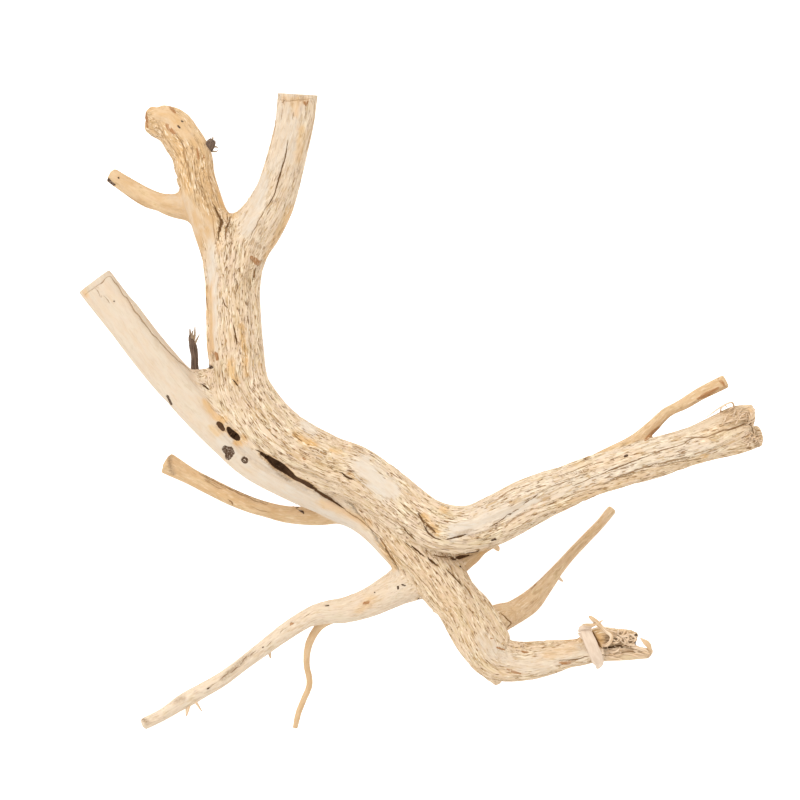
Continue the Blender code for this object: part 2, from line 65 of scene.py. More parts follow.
# Where points lie in the picture, in its pixels
def planOf(places):
    depth = view["place"][2] - places[:, 2]
    scale = (view["place"][2] - view["planeHeight"]) / depth / view["pixel"]
    across = view["middle"] + (places[:, 0] - view["place"][0]) * scale
    down = view["middle"] - (places[:, 1] - view["place"][1]) * scale
    return np.stack([across, down], axis=1)


wood = {
    "routeStep": 0.0015,      # spacing of the samples along a limb
    "tubeStep": 4,            # a draft tube has a ring at every fourth sample
    "tubeSides": 14,
    "voxel": 0.0014,
    "skin": 0.0004,
    "fittingRounds": 2,
    "probe": 0.0002,
    "triangles": 186000,
    "blend": 0.006,           # how softly limbs flow together
    "closeBlend": 0.0025,
    "endRounding": 0.0012,
    "reach": 0.014,
    "spiral": 2.0,            # the grain's twist, radians a metre
    "hollowStretch": 2.6,
    "hollowLip": 0.0005,
    "hollowNear": 0.005,      # the surface is fitted once more this near a hollow
    "millimetre": 1000.0,
    "seed": 11,
    "sharpAngle": 62.0,
}

# Slow swellings, long flutes and drying furrows, as large as in the solid
relief = {
    "swellingSize": 0.030,
    "swellingShare": 0.085,
    "swellingStretch": 0.6,
    "fluteWidth": 0.0075,
    "fluteLength": 0.055,
    "fluteHeight": 0.0013,
    "furrowWidth": 0.0085,
    "furrowLength": 0.075,
    "furrowDepth": 0.0020,
    "furrowSharpness": 0.16,
    "slimLimb": 0.011,
    "slimRelief": 0.25,
}

# Finer relief that the weather has cut: ridges, gullies between them and short pits
weathering = {
    "ridgeWidth": 0.0022,
    "ridgeLength": 0.022,
    "ridgeHeight": 0.00040,
    "gullyWidth": 0.0030,
    "gullyLength": 0.034,
    "gullyDepth": 0.00080,
    "gullySharpness": 0.085,
    "pitWidth": 0.0017,
    "pitLength": 0.0070,
    "pitDepth": 0.00055,
    "pitFrom": 0.42,
    "calm": 0.14,             # what is left of the relief where the wood is worn smooth
}

# Each limb is a route of points, as x, y, z and the radius there
limbRoutes = {
    "trunk": [
        (-0.119, 0.131, 0.058, 0.0110), (-0.1195, 0.116, 0.060, 0.0165),
        (-0.120, 0.104, 0.061, 0.0188), (-0.1215, 0.083, 0.062, 0.0178),
        (-0.120, 0.062, 0.064, 0.0180), (-0.118, 0.043, 0.066, 0.0185), (-0.112, 0.016, 0.068, 0.0181),
        (-0.0905, -0.011, 0.070, 0.0178), (-0.062, -0.027, 0.072, 0.0177),
        (-0.040, -0.035, 0.074, 0.0174), (-0.020, -0.048, 0.076, 0.0167),
        (-0.003, -0.061, 0.079, 0.0160), (0.014, -0.070, 0.081, 0.0157), (0.033, -0.071, 0.083, 0.0153),
        (0.052, -0.063, 0.086, 0.0157), (0.070, -0.0535, 0.089, 0.0159), (0.089, -0.0455, 0.091, 0.0153),
        (0.113, -0.036, 0.094, 0.0137), (0.139, -0.028, 0.095, 0.0126), (0.163, -0.021, 0.096, 0.0115),
        (0.185, -0.014, 0.096, 0.0098), (0.207, -0.005, 0.096, 0.0072),
    ],
    "upper lobe": [
        (0.145, -0.025, 0.095, 0.0076), (0.171, -0.011, 0.098, 0.0056), (0.186, -0.004, 0.099, 0.0064),
        (0.199, 0.0005, 0.099, 0.0078), (0.2105, 0.0010, 0.098, 0.0080),
    ],
    "lower lobe": [
        (0.140, -0.030, 0.093, 0.0089), (0.171, -0.021, 0.093, 0.0087), (0.200, -0.014, 0.092, 0.0089),
        (0.217, -0.011, 0.091, 0.0064),
    ],
    "lower trunk": [
        (-0.046, -0.038, 0.068, 0.0080), (-0.022, -0.060, 0.063, 0.0143),
        (-0.004, -0.082, 0.061, 0.0158), (0.010, -0.099, 0.059, 0.0172), (0.020, -0.113, 0.057, 0.0178),
        (0.031, -0.127, 0.055, 0.0178), (0.041, -0.144, 0.052, 0.0173), (0.051, -0.157, 0.050, 0.0151),
        (0.066, -0.160, 0.050, 0.0129), (0.086, -0.157, 0.052, 0.0119), (0.105, -0.153, 0.055, 0.0101),
        (0.121, -0.150, 0.057, 0.0081),
    ],
    "stub strand": [
        (0.102, -0.156, 0.054, 0.0059), (0.118, -0.155, 0.056, 0.0046), (0.134, -0.155, 0.058, 0.0040),
        (0.1495, -0.1540, 0.058, 0.0039), (0.1520, -0.1545, 0.058, 0.0030),
    ],
    "stub bundle": [
        (0.108, -0.149, 0.057, 0.0056), (0.117, -0.143, 0.059, 0.0061), (0.129, -0.1435, 0.060, 0.0059),
        (0.1390, -0.1440, 0.060, 0.0054), (0.1425, -0.1445, 0.060, 0.0036),
    ],
    "elbow spur": [
        (0.044, -0.160, 0.047, 0.0080), (0.050, -0.171, 0.044, 0.0050), (0.053, -0.176, 0.043, 0.0028),
    ],
    "left limb": [
        (-0.214, 0.095, 0.080, 0.0118), (-0.191, 0.066, 0.078, 0.0122), (-0.176, 0.046, 0.076, 0.0122),
        (-0.160, 0.026, 0.073, 0.0125), (-0.143, 0.007, 0.070, 0.0126), (-0.125, -0.012, 0.068, 0.0121),
        (-0.106, -0.029, 0.066, 0.0118), (-0.081, -0.043, 0.063, 0.0116),
        (-0.056, -0.055, 0.058, 0.0108), (-0.034, -0.067, 0.057, 0.0095),
        (-0.012, -0.086, 0.056, 0.0104), (0.004, -0.105, 0.056, 0.0090),
    ],
    "web": [
        (-0.149, 0.027, 0.066, 0.0040), (-0.138, 0.021, 0.066, 0.0105), (-0.125, 0.004, 0.067, 0.0125),
        (-0.108, -0.012, 0.067, 0.0125),
        (-0.090, -0.026, 0.066, 0.0120), (-0.068, -0.038, 0.065, 0.0118), (-0.045, -0.047, 0.066, 0.0080),
    ],
    "right arm": [
        (-0.116, 0.098, 0.061, 0.0115), (-0.107, 0.119, 0.063, 0.0157), (-0.0975, 0.136, 0.067, 0.0149),
        (-0.090, 0.152, 0.071, 0.0135), (-0.084, 0.172, 0.076, 0.0130), (-0.0795, 0.191, 0.080, 0.0130),
        (-0.077, 0.212, 0.083, 0.0136),
    ],
    "left arm": [
        (-0.125, 0.096, 0.060, 0.0120), (-0.131, 0.115, 0.058, 0.0138), (-0.1395, 0.137, 0.054, 0.0136),
        (-0.1455, 0.156, 0.048, 0.0130),
        (-0.1495, 0.1725, 0.040, 0.0133), (-0.158, 0.1858, 0.029, 0.0132), (-0.1652, 0.1948, 0.020, 0.0131),
        (-0.177, 0.201, 0.007, 0.0120),
    ],
    "side twig": [
        (-0.138, 0.138, 0.052, 0.0100), (-0.153, 0.139, 0.046, 0.0094), (-0.168, 0.141, 0.043, 0.0073),
        (-0.180, 0.146, 0.039, 0.0066), (-0.193, 0.154, 0.034, 0.0060), (-0.2045, 0.1615, 0.030, 0.0055),
    ],
    "left leg": [
        (0.011, -0.102, 0.056, 0.0100), (-0.004, -0.106, 0.051, 0.0136), (-0.017, -0.113, 0.047, 0.0118),
        (-0.032, -0.121, 0.044, 0.0102), (-0.048, -0.1265, 0.041, 0.0089),
        (-0.064, -0.129, 0.038, 0.0078), (-0.077, -0.1355, 0.034, 0.0064),
        (-0.091, -0.145, 0.028, 0.0055), (-0.105, -0.156, 0.023, 0.0050),
        (-0.119, -0.167, 0.018, 0.0047), (-0.132, -0.177, 0.014, 0.0049),
        (-0.146, -0.1855, 0.011, 0.0050), (-0.161, -0.1945, 0.008, 0.0055),
        (-0.174, -0.2030, 0.005, 0.0044), (-0.187, -0.2095, 0.003, 0.0042),
    ],
    "thin root": [
        (-0.046, -0.127, 0.039, 0.0036), (-0.055, -0.133, 0.032, 0.0033),
        (-0.066, -0.140, 0.027, 0.0028), (-0.073, -0.152, 0.022, 0.0026),
        (-0.075, -0.166, 0.017, 0.0024), (-0.0732, -0.180, 0.013, 0.0024),
        (-0.0775, -0.192, 0.009, 0.0024), (-0.081, -0.201, 0.007, 0.0023),
        (-0.0835, -0.212, 0.005, 0.0020),
    ],
    "lower left twig": [
        (-0.046, -0.061, 0.055, 0.0065), (-0.066, -0.064, 0.044, 0.0070),
        (-0.087, -0.064, 0.038, 0.0061), (-0.106, -0.060, 0.034, 0.0060),
        (-0.123, -0.054, 0.030, 0.0061), (-0.140, -0.046, 0.026, 0.0059),
        (-0.153, -0.0395, 0.022, 0.0060), (-0.169, -0.031, 0.018, 0.0080),
    ],
    "rear root": [
        (0.038, -0.137, 0.050, 0.0100), (0.053, -0.134, 0.035, 0.0098), (0.064, -0.1305, 0.027, 0.0077),
        (0.075, -0.124, 0.023, 0.0069), (0.084, -0.115, 0.019, 0.0056), (0.092, -0.106, 0.015, 0.0048),
        (0.103, -0.094, 0.011, 0.0036), (0.114, -0.083, 0.007, 0.0032), (0.125, -0.072, 0.004, 0.0030),
        (0.133, -0.0625, 0.002, 0.0031),
    ],
    "rear branch": [
        (0.014, -0.106, 0.054, 0.0080), (0.028, -0.094, 0.048, 0.0080), (0.043, -0.082, 0.050, 0.0074),
        (0.066, -0.062, 0.060, 0.0074), (0.091, -0.043, 0.070, 0.0070), (0.116, -0.028, 0.078, 0.0066),
        (0.137, -0.0165, 0.083, 0.0059), (0.149, -0.0055, 0.086, 0.0047), (0.158, 0.0035, 0.089, 0.0043),
        (0.168, 0.0090, 0.092, 0.0045), (0.179, 0.0160, 0.096, 0.0046), (0.1935, 0.0235, 0.100, 0.0046),
    ],
}

# These lie against a thicker neighbour, with a crease between
closeLimbs = {"upper lobe", "lower lobe", "stub strand", "stub bundle", "rear branch"}

# How each limb has weathered: share of pits, of warm stain, of bleached pale wood, and which
# of two sets of grain it has, so that neighbours differ and their grain can fade into each other
limbLooks = {
    "trunk": (1.00, 0.22, 0.25, 0),
    "upper lobe": (0.50, 0.55, 0.10, 1),
    "lower lobe": (0.62, 0.50, 0.10, 1),
    "lower trunk": (0.85, 0.36, 0.15, 1),
    "stub strand": (0.18, 0.60, 0.22, 0),
    "stub bundle": (0.60, 0.80, 0.04, 0),
    "elbow spur": (0.40, 0.45, 0.20, 0),
    "left limb": (0.06, 0.30, 0.75, 1),
    "web": (0.70, 0.25, 0.30, -1),
    "right arm": (0.42, 0.34, 0.45, 1),
    "left arm": (0.50, 1.00, 0.08, 1),
    "side twig": (0.09, 0.95, 0.05, 0),
    "left leg": (0.24, 0.24, 0.58, 0),
    "thin root": (0.10, 0.95, 0.00, 1),
    "lower left twig": (0.22, 1.00, 0.00, 0),
    "rear root": (0.26, 0.80, 0.10, 0),
    "rear branch": (0.24, 1.00, 0.00, 0),
}

# A long drying crack and two rotted-out knots
hollowRoutes = {
    "long crack": [
        (-0.1015, -0.0228, 0.0810, 0.0008), (-0.0967, -0.0254, 0.0808, 0.0015),
        (-0.0929, -0.0285, 0.0803, 0.0023), (-0.0895, -0.0308, 0.0800, 0.0026),
        (-0.0858, -0.0333, 0.0797, 0.0023), (-0.0822, -0.0362, 0.0792, 0.0017),
        (-0.0790, -0.0391, 0.0788, 0.0013), (-0.0748, -0.0411, 0.0786, 0.0014),
        (-0.0711, -0.0433, 0.0783, 0.0017), (-0.0676, -0.0456, 0.0780, 0.0016),
        (-0.0640, -0.0481, 0.0775, 0.0011), (-0.0600, -0.0505, 0.0770, 0.0007),
    ],
    "upper knot hole": [
        (-0.1292, -0.0028, 0.0800, 0.0010), (-0.1270, -0.0050, 0.0798, 0.0015), (-0.1248, -0.0082, 0.0796, 0.0008),
    ],
    "lower knot hole": [
        (-0.1225, -0.0060, 0.0800, 0.0009), (-0.1208, -0.0086, 0.0798, 0.0016), (-0.1189, -0.0106, 0.0796, 0.0021),
        (-0.1167, -0.0124, 0.0794, 0.0019), (-0.1150, -0.0140, 0.0792, 0.0010),
    ],
}

# Marks on the upper side, placed by where they lie in the picture: kind, route, half width and
# strength, which for a crack is how dark it is. A point of a route may have a half width of its own
woodMarks = [
    # worn smooth and pale
    ("smooth", [(362, 466), (375, 480), (390, 492)], 13.0, 1.0),
    ("smooth", [(304, 424), (312, 431)], 6.0, 0.8),
    ("smooth", [(262, 180), (256, 205), (246, 228)], 8.0, 0.9),
    ("smooth", [(284, 105), (281, 140), (274, 165)], 9.0, 0.45),
    ("smooth", [(454, 532, 10.0), (480, 522, 11.0), (510, 511, 8.0), (536, 501, 4.0)], 11.0, 0.9),
    ("smooth", [(560, 490), (620, 470), (700, 445)], 17.0, 0.45),
    ("smooth", [(470, 515), (520, 500), (560, 480)], 16.0, 0.40),
    ("smooth", [(290, 100), (288, 120), (290, 150)], 18.0, 0.50),
    ("smooth", [(560, 492), (600, 482), (640, 468)], 6.0, 0.5),
    ("smooth", [(600, 460), (640, 447), (670, 440)], 6.0, 0.5),
    ("smooth", [(680, 431), (700, 426), (722, 418)], 6.0, 0.55),
    ("smooth", [(210, 220), (211, 260), (213, 300), (213, 350)], 6.0, 0.9),
    ("smooth", [(176, 196), (190, 212), (200, 232)], 10.0, 1.0),
    ("smooth", [(160, 112), (172, 120), (186, 132)], 9.0, 0.9),
    ("smooth", [(300, 490), (325, 508), (352, 521)], 8.0, 0.85),
    ("smooth", [(222, 442), (240, 452), (262, 468), (282, 484), (300, 500)], 8.0, 0.95),
    ("smooth", [(540, 662), (565, 654), (598, 648)], 12.0, 0.75),
    ("smooth", [(486, 642), (500, 656), (520, 664), (545, 665)], 11.0, 0.75),
    # warm stains
    ("stain", [(230, 362), (231, 372), (236, 383)], 4.0, 1.0),
    ("stain", [(241, 325), (243, 345), (246, 375)], 3.0, 0.9),
    ("stain", [(295, 435), (302, 440), (314, 445)], 4.0, 1.0),
    ("stain", [(331, 450), (340, 452)], 2.4, 0.8),
    ("stain", [(349, 474), (353, 477)], 2.2, 0.9),
    ("stain", [(207, 290), (208, 320), (210, 350)], 6.0, 0.7),
    ("stain", [(180, 150), (184, 168), (187, 186)], 5.0, 0.60),
    ("stain", [(196, 140), (201, 165), (207, 195)], 8.0, 0.30),
    ("stain", [(84, 291), (86, 295)], 3.0, 0.7),
    ("stain", [(293, 104), (296, 112)], 5.0, 0.45),
    ("stain", [(212, 413), (216, 418), (224, 420)], 4.0, 0.8),
    ("stain", [(236, 443), (242, 442.5), (243.5, 437)], 3.6, 1.0),
    ("stain", [(222, 195), (228, 212), (232, 214), (238, 204)], 5.0, 0.55),
    ("stain", [(214, 200), (216, 225), (219, 250)], 5.0, 0.35),
    ("stain", [(548, 655), (572, 648)], 6.0, 0.35),
    ("stain", [(560, 506), (600, 490), (650, 474), (700, 461)], 7.0, 0.38),
    ("stain", [(585, 470), (620, 458), (640, 452)], 5.0, 0.25),
    ("stain", [(706, 437), (722, 428), (742, 414)], 6.0, 0.30),
    ("stain", [(252, 250), (240, 290), (236, 340)], 9.0, 0.15),
    ("stain", [(300, 455), (340, 478), (372, 505)], 8.0, 0.16),
    ("stain", [(405, 545), (430, 580), (455, 612)], 9.0, 0.18),
    ("stain", [(212, 428), (218, 434)], 4.0, 0.6),
    ("stain", [(204, 402), (210, 410)], 4.0, 0.8),
    ("stain", [(322, 503), (345, 512), (368, 524)], 5.0, 0.6),
    ("stain", [(424, 516), (430, 524), (437, 533)], 4.0, 0.9),
    ("stain", [(441, 508), (446, 510)], 3.0, 0.8),
    ("stain", [(384, 545), (396, 566)], 6.0, 0.6),
    ("stain", [(268, 255), (282, 232), (292, 210)], 6.0, 0.6),
    ("stain", [(285, 98), (305, 100)], 4.0, 0.5),
    ("stain", [(298, 160), (302, 130)], 5.0, 0.5),
    ("stain", [(703, 457), (707, 456)], 2.6, 0.9),
    ("stain", [(480, 553), (486, 550)], 3.0, 0.7),
    ("stain", [(598, 637), (601, 643)], 6.0, 1.0),
    ("stain", [(568, 641), (580, 640)], 4.0, 0.5),
    ("stain", [(360, 609), (372, 600)], 5.0, 0.5),
    ("stain", [(150, 106), (170, 112), (184, 130)], 9.0, 0.35),
    ("stain", [(176, 140), (181, 160), (188, 190)], 5.0, 0.40),
    # soft brown: painted shade down a crack's wall and in the gaps under torn fibres, partly brown patches of the
    # wood's own
    ("shade", [(222, 679), (236, 667), (250, 654)], 3.0, 0.6),
    ("shade", [(176, 702), (182, 699)], 3.0, 0.6),
    ("shade", [(142, 719), (147, 723)], 2.4, 0.9),
    ("shade", [(168, 455), (170, 464), (172, 473)], 3.0, 0.8),
    ("shade", [(266, 458), (272, 467), (282, 476), (289, 480)], 2.2, 0.8),
    ("shade", [(458, 535), (466, 532), (472, 531)], 2.0, 0.5),
    ("shade", [(610, 641), (622, 641), (634, 641)], 7.0, 1.0),
    ("shade", [(730, 408), (740, 410), (747, 420)], 6.0, 0.60),
    ("shade", [(756, 433), (758, 444)], 4.0, 0.7),
    ("shade", [(646, 650), (650, 656)], 3.0, 0.6),
    # reddish brown patches
    ("rust", [(166, 123, 1.4), (168, 127, 2.0), (172, 131, 2.4), (175, 133, 1.2)], 2.0, 1.0),
    ("rust", [(169.5, 106.5, 1.2), (172, 109, 1.8), (175, 112.5, 1.0)], 1.6, 1.0),
    ("rust", [(195, 145, 0.8), (197, 151, 1.4), (198, 158, 1.8)], 1.4, 1.0),
    ("rust", [(203.5, 155), (204, 159)], 1.0, 1.0),
    ("rust", [(251, 257, 2.0), (257, 262, 3.4)], 3.0, 1.0),
    ("rust", [(303, 458), (305, 460)], 1.3, 1.0),
    ("rust", [(145, 113, 1.6), (146, 120, 2.0), (147, 127, 1.0)], 1.6, 1.0),
    ("rust", [(646, 440, 1.4), (652, 434, 2.6), (660, 428, 2.0)], 2.0, 1.0),
    ("rust", [(698, 399, 1.2), (708, 394, 2.4), (719, 388, 1.2)], 2.0, 1.0),
    ("rust", [(719, 379, 1.2), (723, 383, 1.8), (725, 386, 1.2)], 1.5, 1.0),
    ("rust", [(560, 664), (571, 663)], 1.6, 1.0),
    ("rust", [(211.5, 351, 1.2), (215.5, 354, 2.0), (217, 359, 1.6), (213, 361, 1.0)], 1.6, 1.0),
    ("rust", [(300, 101, 1.2), (305, 103, 1.8), (308, 107, 0.8)], 1.4, 1.0),
    ("rust", [(307, 100.5, 1.0), (311, 101, 1.4)], 1.2, 1.0),
    ("rust", [(289.6, 625.4, 1.0), (291.4, 624.2, 1.8), (293.4, 622.8, 1.0)], 1.4, 1.0),
    ("rust", [(362, 604.4, 0.8), (366.6, 603, 1.8), (371, 601, 0.8)], 1.4, 1.0),
    ("rust", [(485.6, 636.8, 0.7), (489.6, 638.2, 1.4), (494, 639.2, 0.7)], 1.4, 1.0),
    ("rust", [(495.6, 647.2, 0.6), (500, 648.8, 1.2), (505, 650.4, 0.7)], 1.4, 1.0),
    ("rust", [(521.6, 651.6, 0.7), (526, 652.8, 1.3), (530.4, 653.4, 0.7)], 1.4, 1.0),
    ("rust", [(506, 669.4, 0.7), (514, 672.4, 1.3), (522, 674.6, 0.8)], 1.4, 1.0),
    # brown knots
    ("knot", [(325, 606.2, 0.6), (328.4, 605.8, 0.9)], 0.8, 1.0),
    ("knot", [(299.6, 611), (300.8, 610.4)], 0.7, 1.0),
    ("knot", [(262.4, 648), (263.2, 647.4)], 0.7, 1.0),
    ("knot", [(207, 689.4), (208.6, 688.6)], 0.8, 1.0),
    ("knot", [(374.4, 592.6), (375, 593)], 0.7, 1.0),
    ("knot", [(225, 449, 3.6), (229, 452, 5.4), (228, 457, 3.4)], 4.5, 1.0),
    ("ring", [(243.8, 459.6), (245.2, 460.8)], 3.2, 1.0),
    ("knot", [(206, 366, 1.2), (210, 367, 2.0), (212.5, 367.5, 1.0)], 2.0, 1.0),
    ("knot", [(107.6, 178.6, 1.4), (110, 182, 1.8), (114, 184.4, 1.2)], 1.6, 1.0),
    ("knot", [(118, 177.2), (118.2, 177.8)], 0.9, 1.0),
    ("knot", [(181.2, 120.4), (182.4, 121.2)], 0.9, 1.0),
    ("knot", [(177.6, 125.4), (179.4, 127.4)], 0.9, 1.0),
    ("knot", [(398, 587), (398, 589)], 1.1, 1.0),
    ("knot", [(402, 585), (405, 586)], 0.9, 1.0),
    ("knot", [(625.4, 456.4), (627.6, 455.4)], 1.2, 1.0),
    ("knot", [(167, 396), (171, 404)], 1.2, 1.0),
    ("knot", [(293, 505, 0.8), (297.5, 507, 2.2), (301, 510.5, 1.8), (303.5, 513.5, 0.8)], 2.0, 1.0),
    ("knot", [(113.4, 300.8), (113.8, 301.4)], 0.8, 1.0),
    ("knot", [(460.2, 566.6), (460.8, 567.4)], 0.9, 1.0),
    ("knot", [(636, 635, 1.6), (637.6, 640, 2.2), (636.6, 645, 1.6)], 2.0, 1.0),
    ("knot", [(492, 540.5), (496, 539.6)], 1.1, 1.0),
    ("knot", [(418.4, 599), (418.8, 600)], 0.9, 1.0),
    ("knot", [(738.2, 414.6), (738.8, 415.6)], 1.0, 1.0),
    # cracks and grooves, drawn as dark lines: their own brown with painted shade in their depth
    ("crack", [(309, 614), (304, 617.6)], 0.35, 0.3),
    ("crack", [(284, 629), (279.6, 632.6)], 0.35, 0.3),
    ("crack", [(271, 642), (266.6, 646)], 0.4, 0.3),
    ("crack", [(256, 651), (251, 655.6)], 0.45, 0.4),
    ("crack", [(247, 657), (242, 662)], 0.45, 0.4),
    ("crack", [(238, 667), (231, 673)], 0.5, 0.4),
    ("crack", [(228, 673), (220, 680)], 0.4, 0.3),
    ("crack", [(214, 684), (207, 689)], 0.35, 0.3),
    ("crack", [(199, 474), (210, 480), (224, 486.4), (247, 497.4), (266, 505)], 0.6, 0.35),
    ("crack", [(288.2, 141, 0.4), (284.5, 158, 0.7), (279.5, 176, 0.7), (274, 194, 0.6), (265, 209, 0.5)], 0.6, 0.8),
    ("crack", [(264, 211), (257, 223), (249.5, 238)], 0.4, 0.4),
    ("crack", [(212, 202, 0.5), (217.8, 213.8, 1.1), (221, 220, 1.4), (219.4, 228, 1.3), (217.8, 240, 0.7)], 1.2, 0.75),
    ("crack", [(229.5, 217, 0.5), (226.4, 229, 1.2), (224.8, 240, 0.6)], 1.1, 0.45),
    ("crack", [(205, 200), (211, 214), (214, 232), (218, 258)], 0.5, 0.0),
    ("crack", [(222, 212), (226, 222), (228, 212), (231, 218)], 0.5, 0.0),
    ("crack", [(232, 222), (231, 240), (227, 258)], 0.4, 0.0),
    ("crack", [(175.6, 134), (180, 140), (183.4, 147), (184, 154), (186.6, 164), (189, 173), (190.5, 184)], 0.8, 0.2),
    ("crack", [(156, 121), (163, 134), (172.5, 148), (178.8, 157.5)], 0.5, 0.1),
    ("crack", [(199, 172), (203, 190), (208, 206)], 0.4, 0.2),
    ("crack", [(194, 160), (197, 180), (204, 200)], 0.4, 0.1),
    ("crack", [(207, 150), (209, 175), (213, 195)], 0.4, 0.1),
    ("crack", [(233.2, 326), (234.6, 334), (236.6, 344)], 0.9, 0.8),
    ("crack", [(222, 298), (223.5, 303), (226, 307)], 0.5, 0.6),
    ("crack", [(253, 271), (254.5, 278)], 0.9, 0.35),
    ("crack", [(245, 301), (246, 306)], 0.6, 0.5),
    ("crack", [(236, 280), (237.5, 287), (235.5, 293)], 0.6, 0.3),
    ("crack", [(202, 384), (208, 389)], 0.9, 1.0),
    ("crack", [(233, 380), (238, 386)], 0.9, 1.0),
    ("crack", [(256, 450), (262, 453.4), (268, 457.4)], 0.9, 1.0),
    ("crack", [(311, 486.5, 1.6), (318, 491.6, 2.6), (325, 496.2, 2.1), (332, 500.6, 1.6), (345, 509, 0.8)], 0.9, 1.0),
    ("crack", [(342.5, 473), (345, 475.6), (348.8, 478), (352.8, 479)], 1.0, 1.0),
    ("crack", [(293, 433), (297.5, 437.5), (301.5, 440.5)], 0.5, 0.5),
    ("crack", [(418.6, 514.6), (423, 521.3), (427.5, 526), (432, 529), (435.6, 533)], 1.3, 0.7),
    ("crack", [(423.7, 526.7), (428.3, 532.8), (432.9, 536.6), (440, 539.6)], 0.9, 0.8),
    ("crack", [(447.6, 540), (456.6, 537.4), (466.4, 534.4)], 0.9, 0.9),
    ("crack", [(412, 546.4), (417.6, 551.2), (424.2, 557)], 1.0, 0.95),
    ("crack", [(428, 558.6), (432, 561.9), (437.4, 566.2)], 1.0, 0.9),
    ("crack", [(446.7, 569), (450.5, 574), (456.6, 580.2), (462, 586)], 0.6, 0.8),
    ("crack", [(464.5, 586), (468.9, 591.7), (473.4, 598.4)], 0.9, 0.4),
    ("crack", [(432.9, 555.7), (442.8, 556.7), (454, 557)], 0.6, 0.5),
    ("crack", [(451, 558.6, 1.2), (456, 558.8, 2.8), (464, 556.2, 2.2), (472, 553.6, 1.4), (480, 550.8, 0.6)], 2.0, 1.0),
    ("crack", [(593.5, 633), (596.5, 640), (601, 648)], 1.3, 0.6),
    ("crack", [(532, 589), (548, 570), (559, 559), (571, 544)], 0.8, 0.35),
    ("crack", [(571, 544), (583, 530), (590, 520)], 0.5, 0.3),
    ("crack", [(499, 612), (506, 618), (511, 624), (507, 628)], 0.7, 0.45),
    ("crack", [(403, 527.4), (406.9, 532), (415.3, 540.4)], 0.6, 0.8),
    ("crack", [(406, 542.7), (410, 547.3)], 0.6, 0.8),
    ("crack", [(380, 539), (388, 552), (397, 566)], 0.8, 0.4),
    ("crack", [(396, 556), (412, 570), (428, 588), (440, 602)], 0.4, 0.2),
    ("crack", [(488.8, 503), (498.7, 499), (508.6, 491.5), (520, 487.7)], 0.6, 0.1),
    ("crack", [(492.6, 525.9), (498, 523)], 0.55, 0.6),
    ("crack", [(500, 521.2), (506, 517.6)], 0.5, 0.6),
    ("crack", [(508, 515.6), (511.4, 514)], 0.7, 0.8),
    ("crack", [(514, 512), (518.5, 509.5)], 0.5, 0.5),
    ("crack", [(524, 504), (530, 500)], 0.5, 0.6),
    ("crack", [(533, 498.4), (537, 496)], 0.5, 0.6),
    ("crack", [(504.7, 527), (511, 521), (519, 516), (528, 512), (538, 508.6)], 0.8, 0.0),
    ("crack", [(548, 505), (555, 502.6)], 0.8, 0.4),
    ("crack", [(540, 493), (552, 487), (572.5, 480)], 0.4, 0.0),
    ("crack", [(572.5, 486), (585, 481), (597.5, 476)], 0.45, 0.4),
    ("crack", [(601, 474.6), (615, 468.8), (635, 461), (646, 457)], 0.6, 0.55),
    ("crack", [(649, 455.6), (664, 450), (680, 445.6)], 0.5, 0.45),
    ("crack", [(560, 476), (574, 471), (590, 464)], 0.4, 0.2),
    ("crack", [(596, 486), (612, 481), (634, 474)], 0.45, 0.3),
    ("crack", [(655, 468), (675, 463), (700, 459)], 0.4, 0.3),
    ("crack", [(560, 500), (572, 495), (590, 489)], 0.5, 0.2),
    ("crack", [(610, 480), (635, 471), (660, 463.4), (690, 457)], 0.5, 0.4),
    ("crack", [(574, 475), (590, 470)], 0.4, 0.4),
    ("crack", [(678, 446.6), (694.4, 438.4), (707.5, 436.5), (716, 433.7), (724.4, 430.4)], 0.7, 0.30),
    ("crack", [(718, 432.6), (724, 430.4), (731.9, 429), (745, 424.4), (749.7, 424), (753.4, 429)], 0.8, 0.45),
    ("crack", [(725.3, 424.4), (733.7, 420.6), (739.4, 416.9)], 0.7, 0.6),
    ("crack", [(749.7, 407.5), (749.9, 418.7), (751.5, 424)], 0.6, 0.3),
    ("crack", [(604, 656.2), (612, 654.4), (622, 652.6), (634, 652), (645, 653.5)], 0.6, 0.40),
    ("crack", [(604, 648.5), (616, 647), (630, 644.5)], 0.9, 0.70),
    ("crack", [(560, 661), (575, 660), (588, 657)], 0.6, 0.5),
    ("crack", [(110.5, 277), (116, 284), (122.5, 294), (127, 298.5), (134, 310), (150, 331), (168, 351), (190, 371)],
     0.6, 0.25),
    ("crack", [(96, 288.5), (98, 292), (99.8, 296)], 0.4, 0.1),
    ("crack", [(104, 296), (106, 299), (108.6, 302.6)], 0.4, 0.2),
    ("crack", [(84.5, 295), (88, 291.5), (95, 287), (101, 282), (106, 277.5), (110.5, 276.5)], 0.35, 0.0),
    ("crack", [(100, 283.4), (104.4, 279.4)], 0.5, 0.4),
    ("crack", [(276.5, 97.9), (283, 99.6), (291, 100.2), (299, 99.4), (307, 98.4), (314.6, 98.8)], 0.35, 0.0),
    ("crack", [(276.6, 100), (275.6, 118), (272.8, 136), (268.6, 150)], 0.4, 0.0),
    ("crack", [(314.6, 101), (313.6, 116), (311, 130), (306, 150)], 0.5, 0.05),
    ("crack", [(281.5, 101.5), (281.6, 112), (280.5, 120)], 0.5, 0.15),
    ("crack", [(305.4, 106), (305.6, 114), (305, 120)], 0.5, 0.15),
    ("crack", [(293.4, 113), (292.8, 118)], 0.5, 0.3),
    ("crack", [(255, 268), (252, 280)], 0.7, 0.6),
    ("crack", [(345, 510), (362, 522), (384, 541)], 0.5, 0.3),
    ("crack", [(196, 469), (208, 476), (222, 482), (246, 494), (266, 501), (281, 503.6), (294, 504.8)], 0.8, 0.3),
    ("crack", [(205, 481), (212, 485), (221, 489)], 0.5, 0.1),
    ("crack", [(228, 500), (231, 502), (232, 504.6)], 0.7, 0.4),
    ("crack", [(252, 507), (262, 511), (270, 513)], 0.4, 0.0),
    ("crack", [(112, 186), (128, 196.5), (146, 206)], 0.5, 0.1),
]

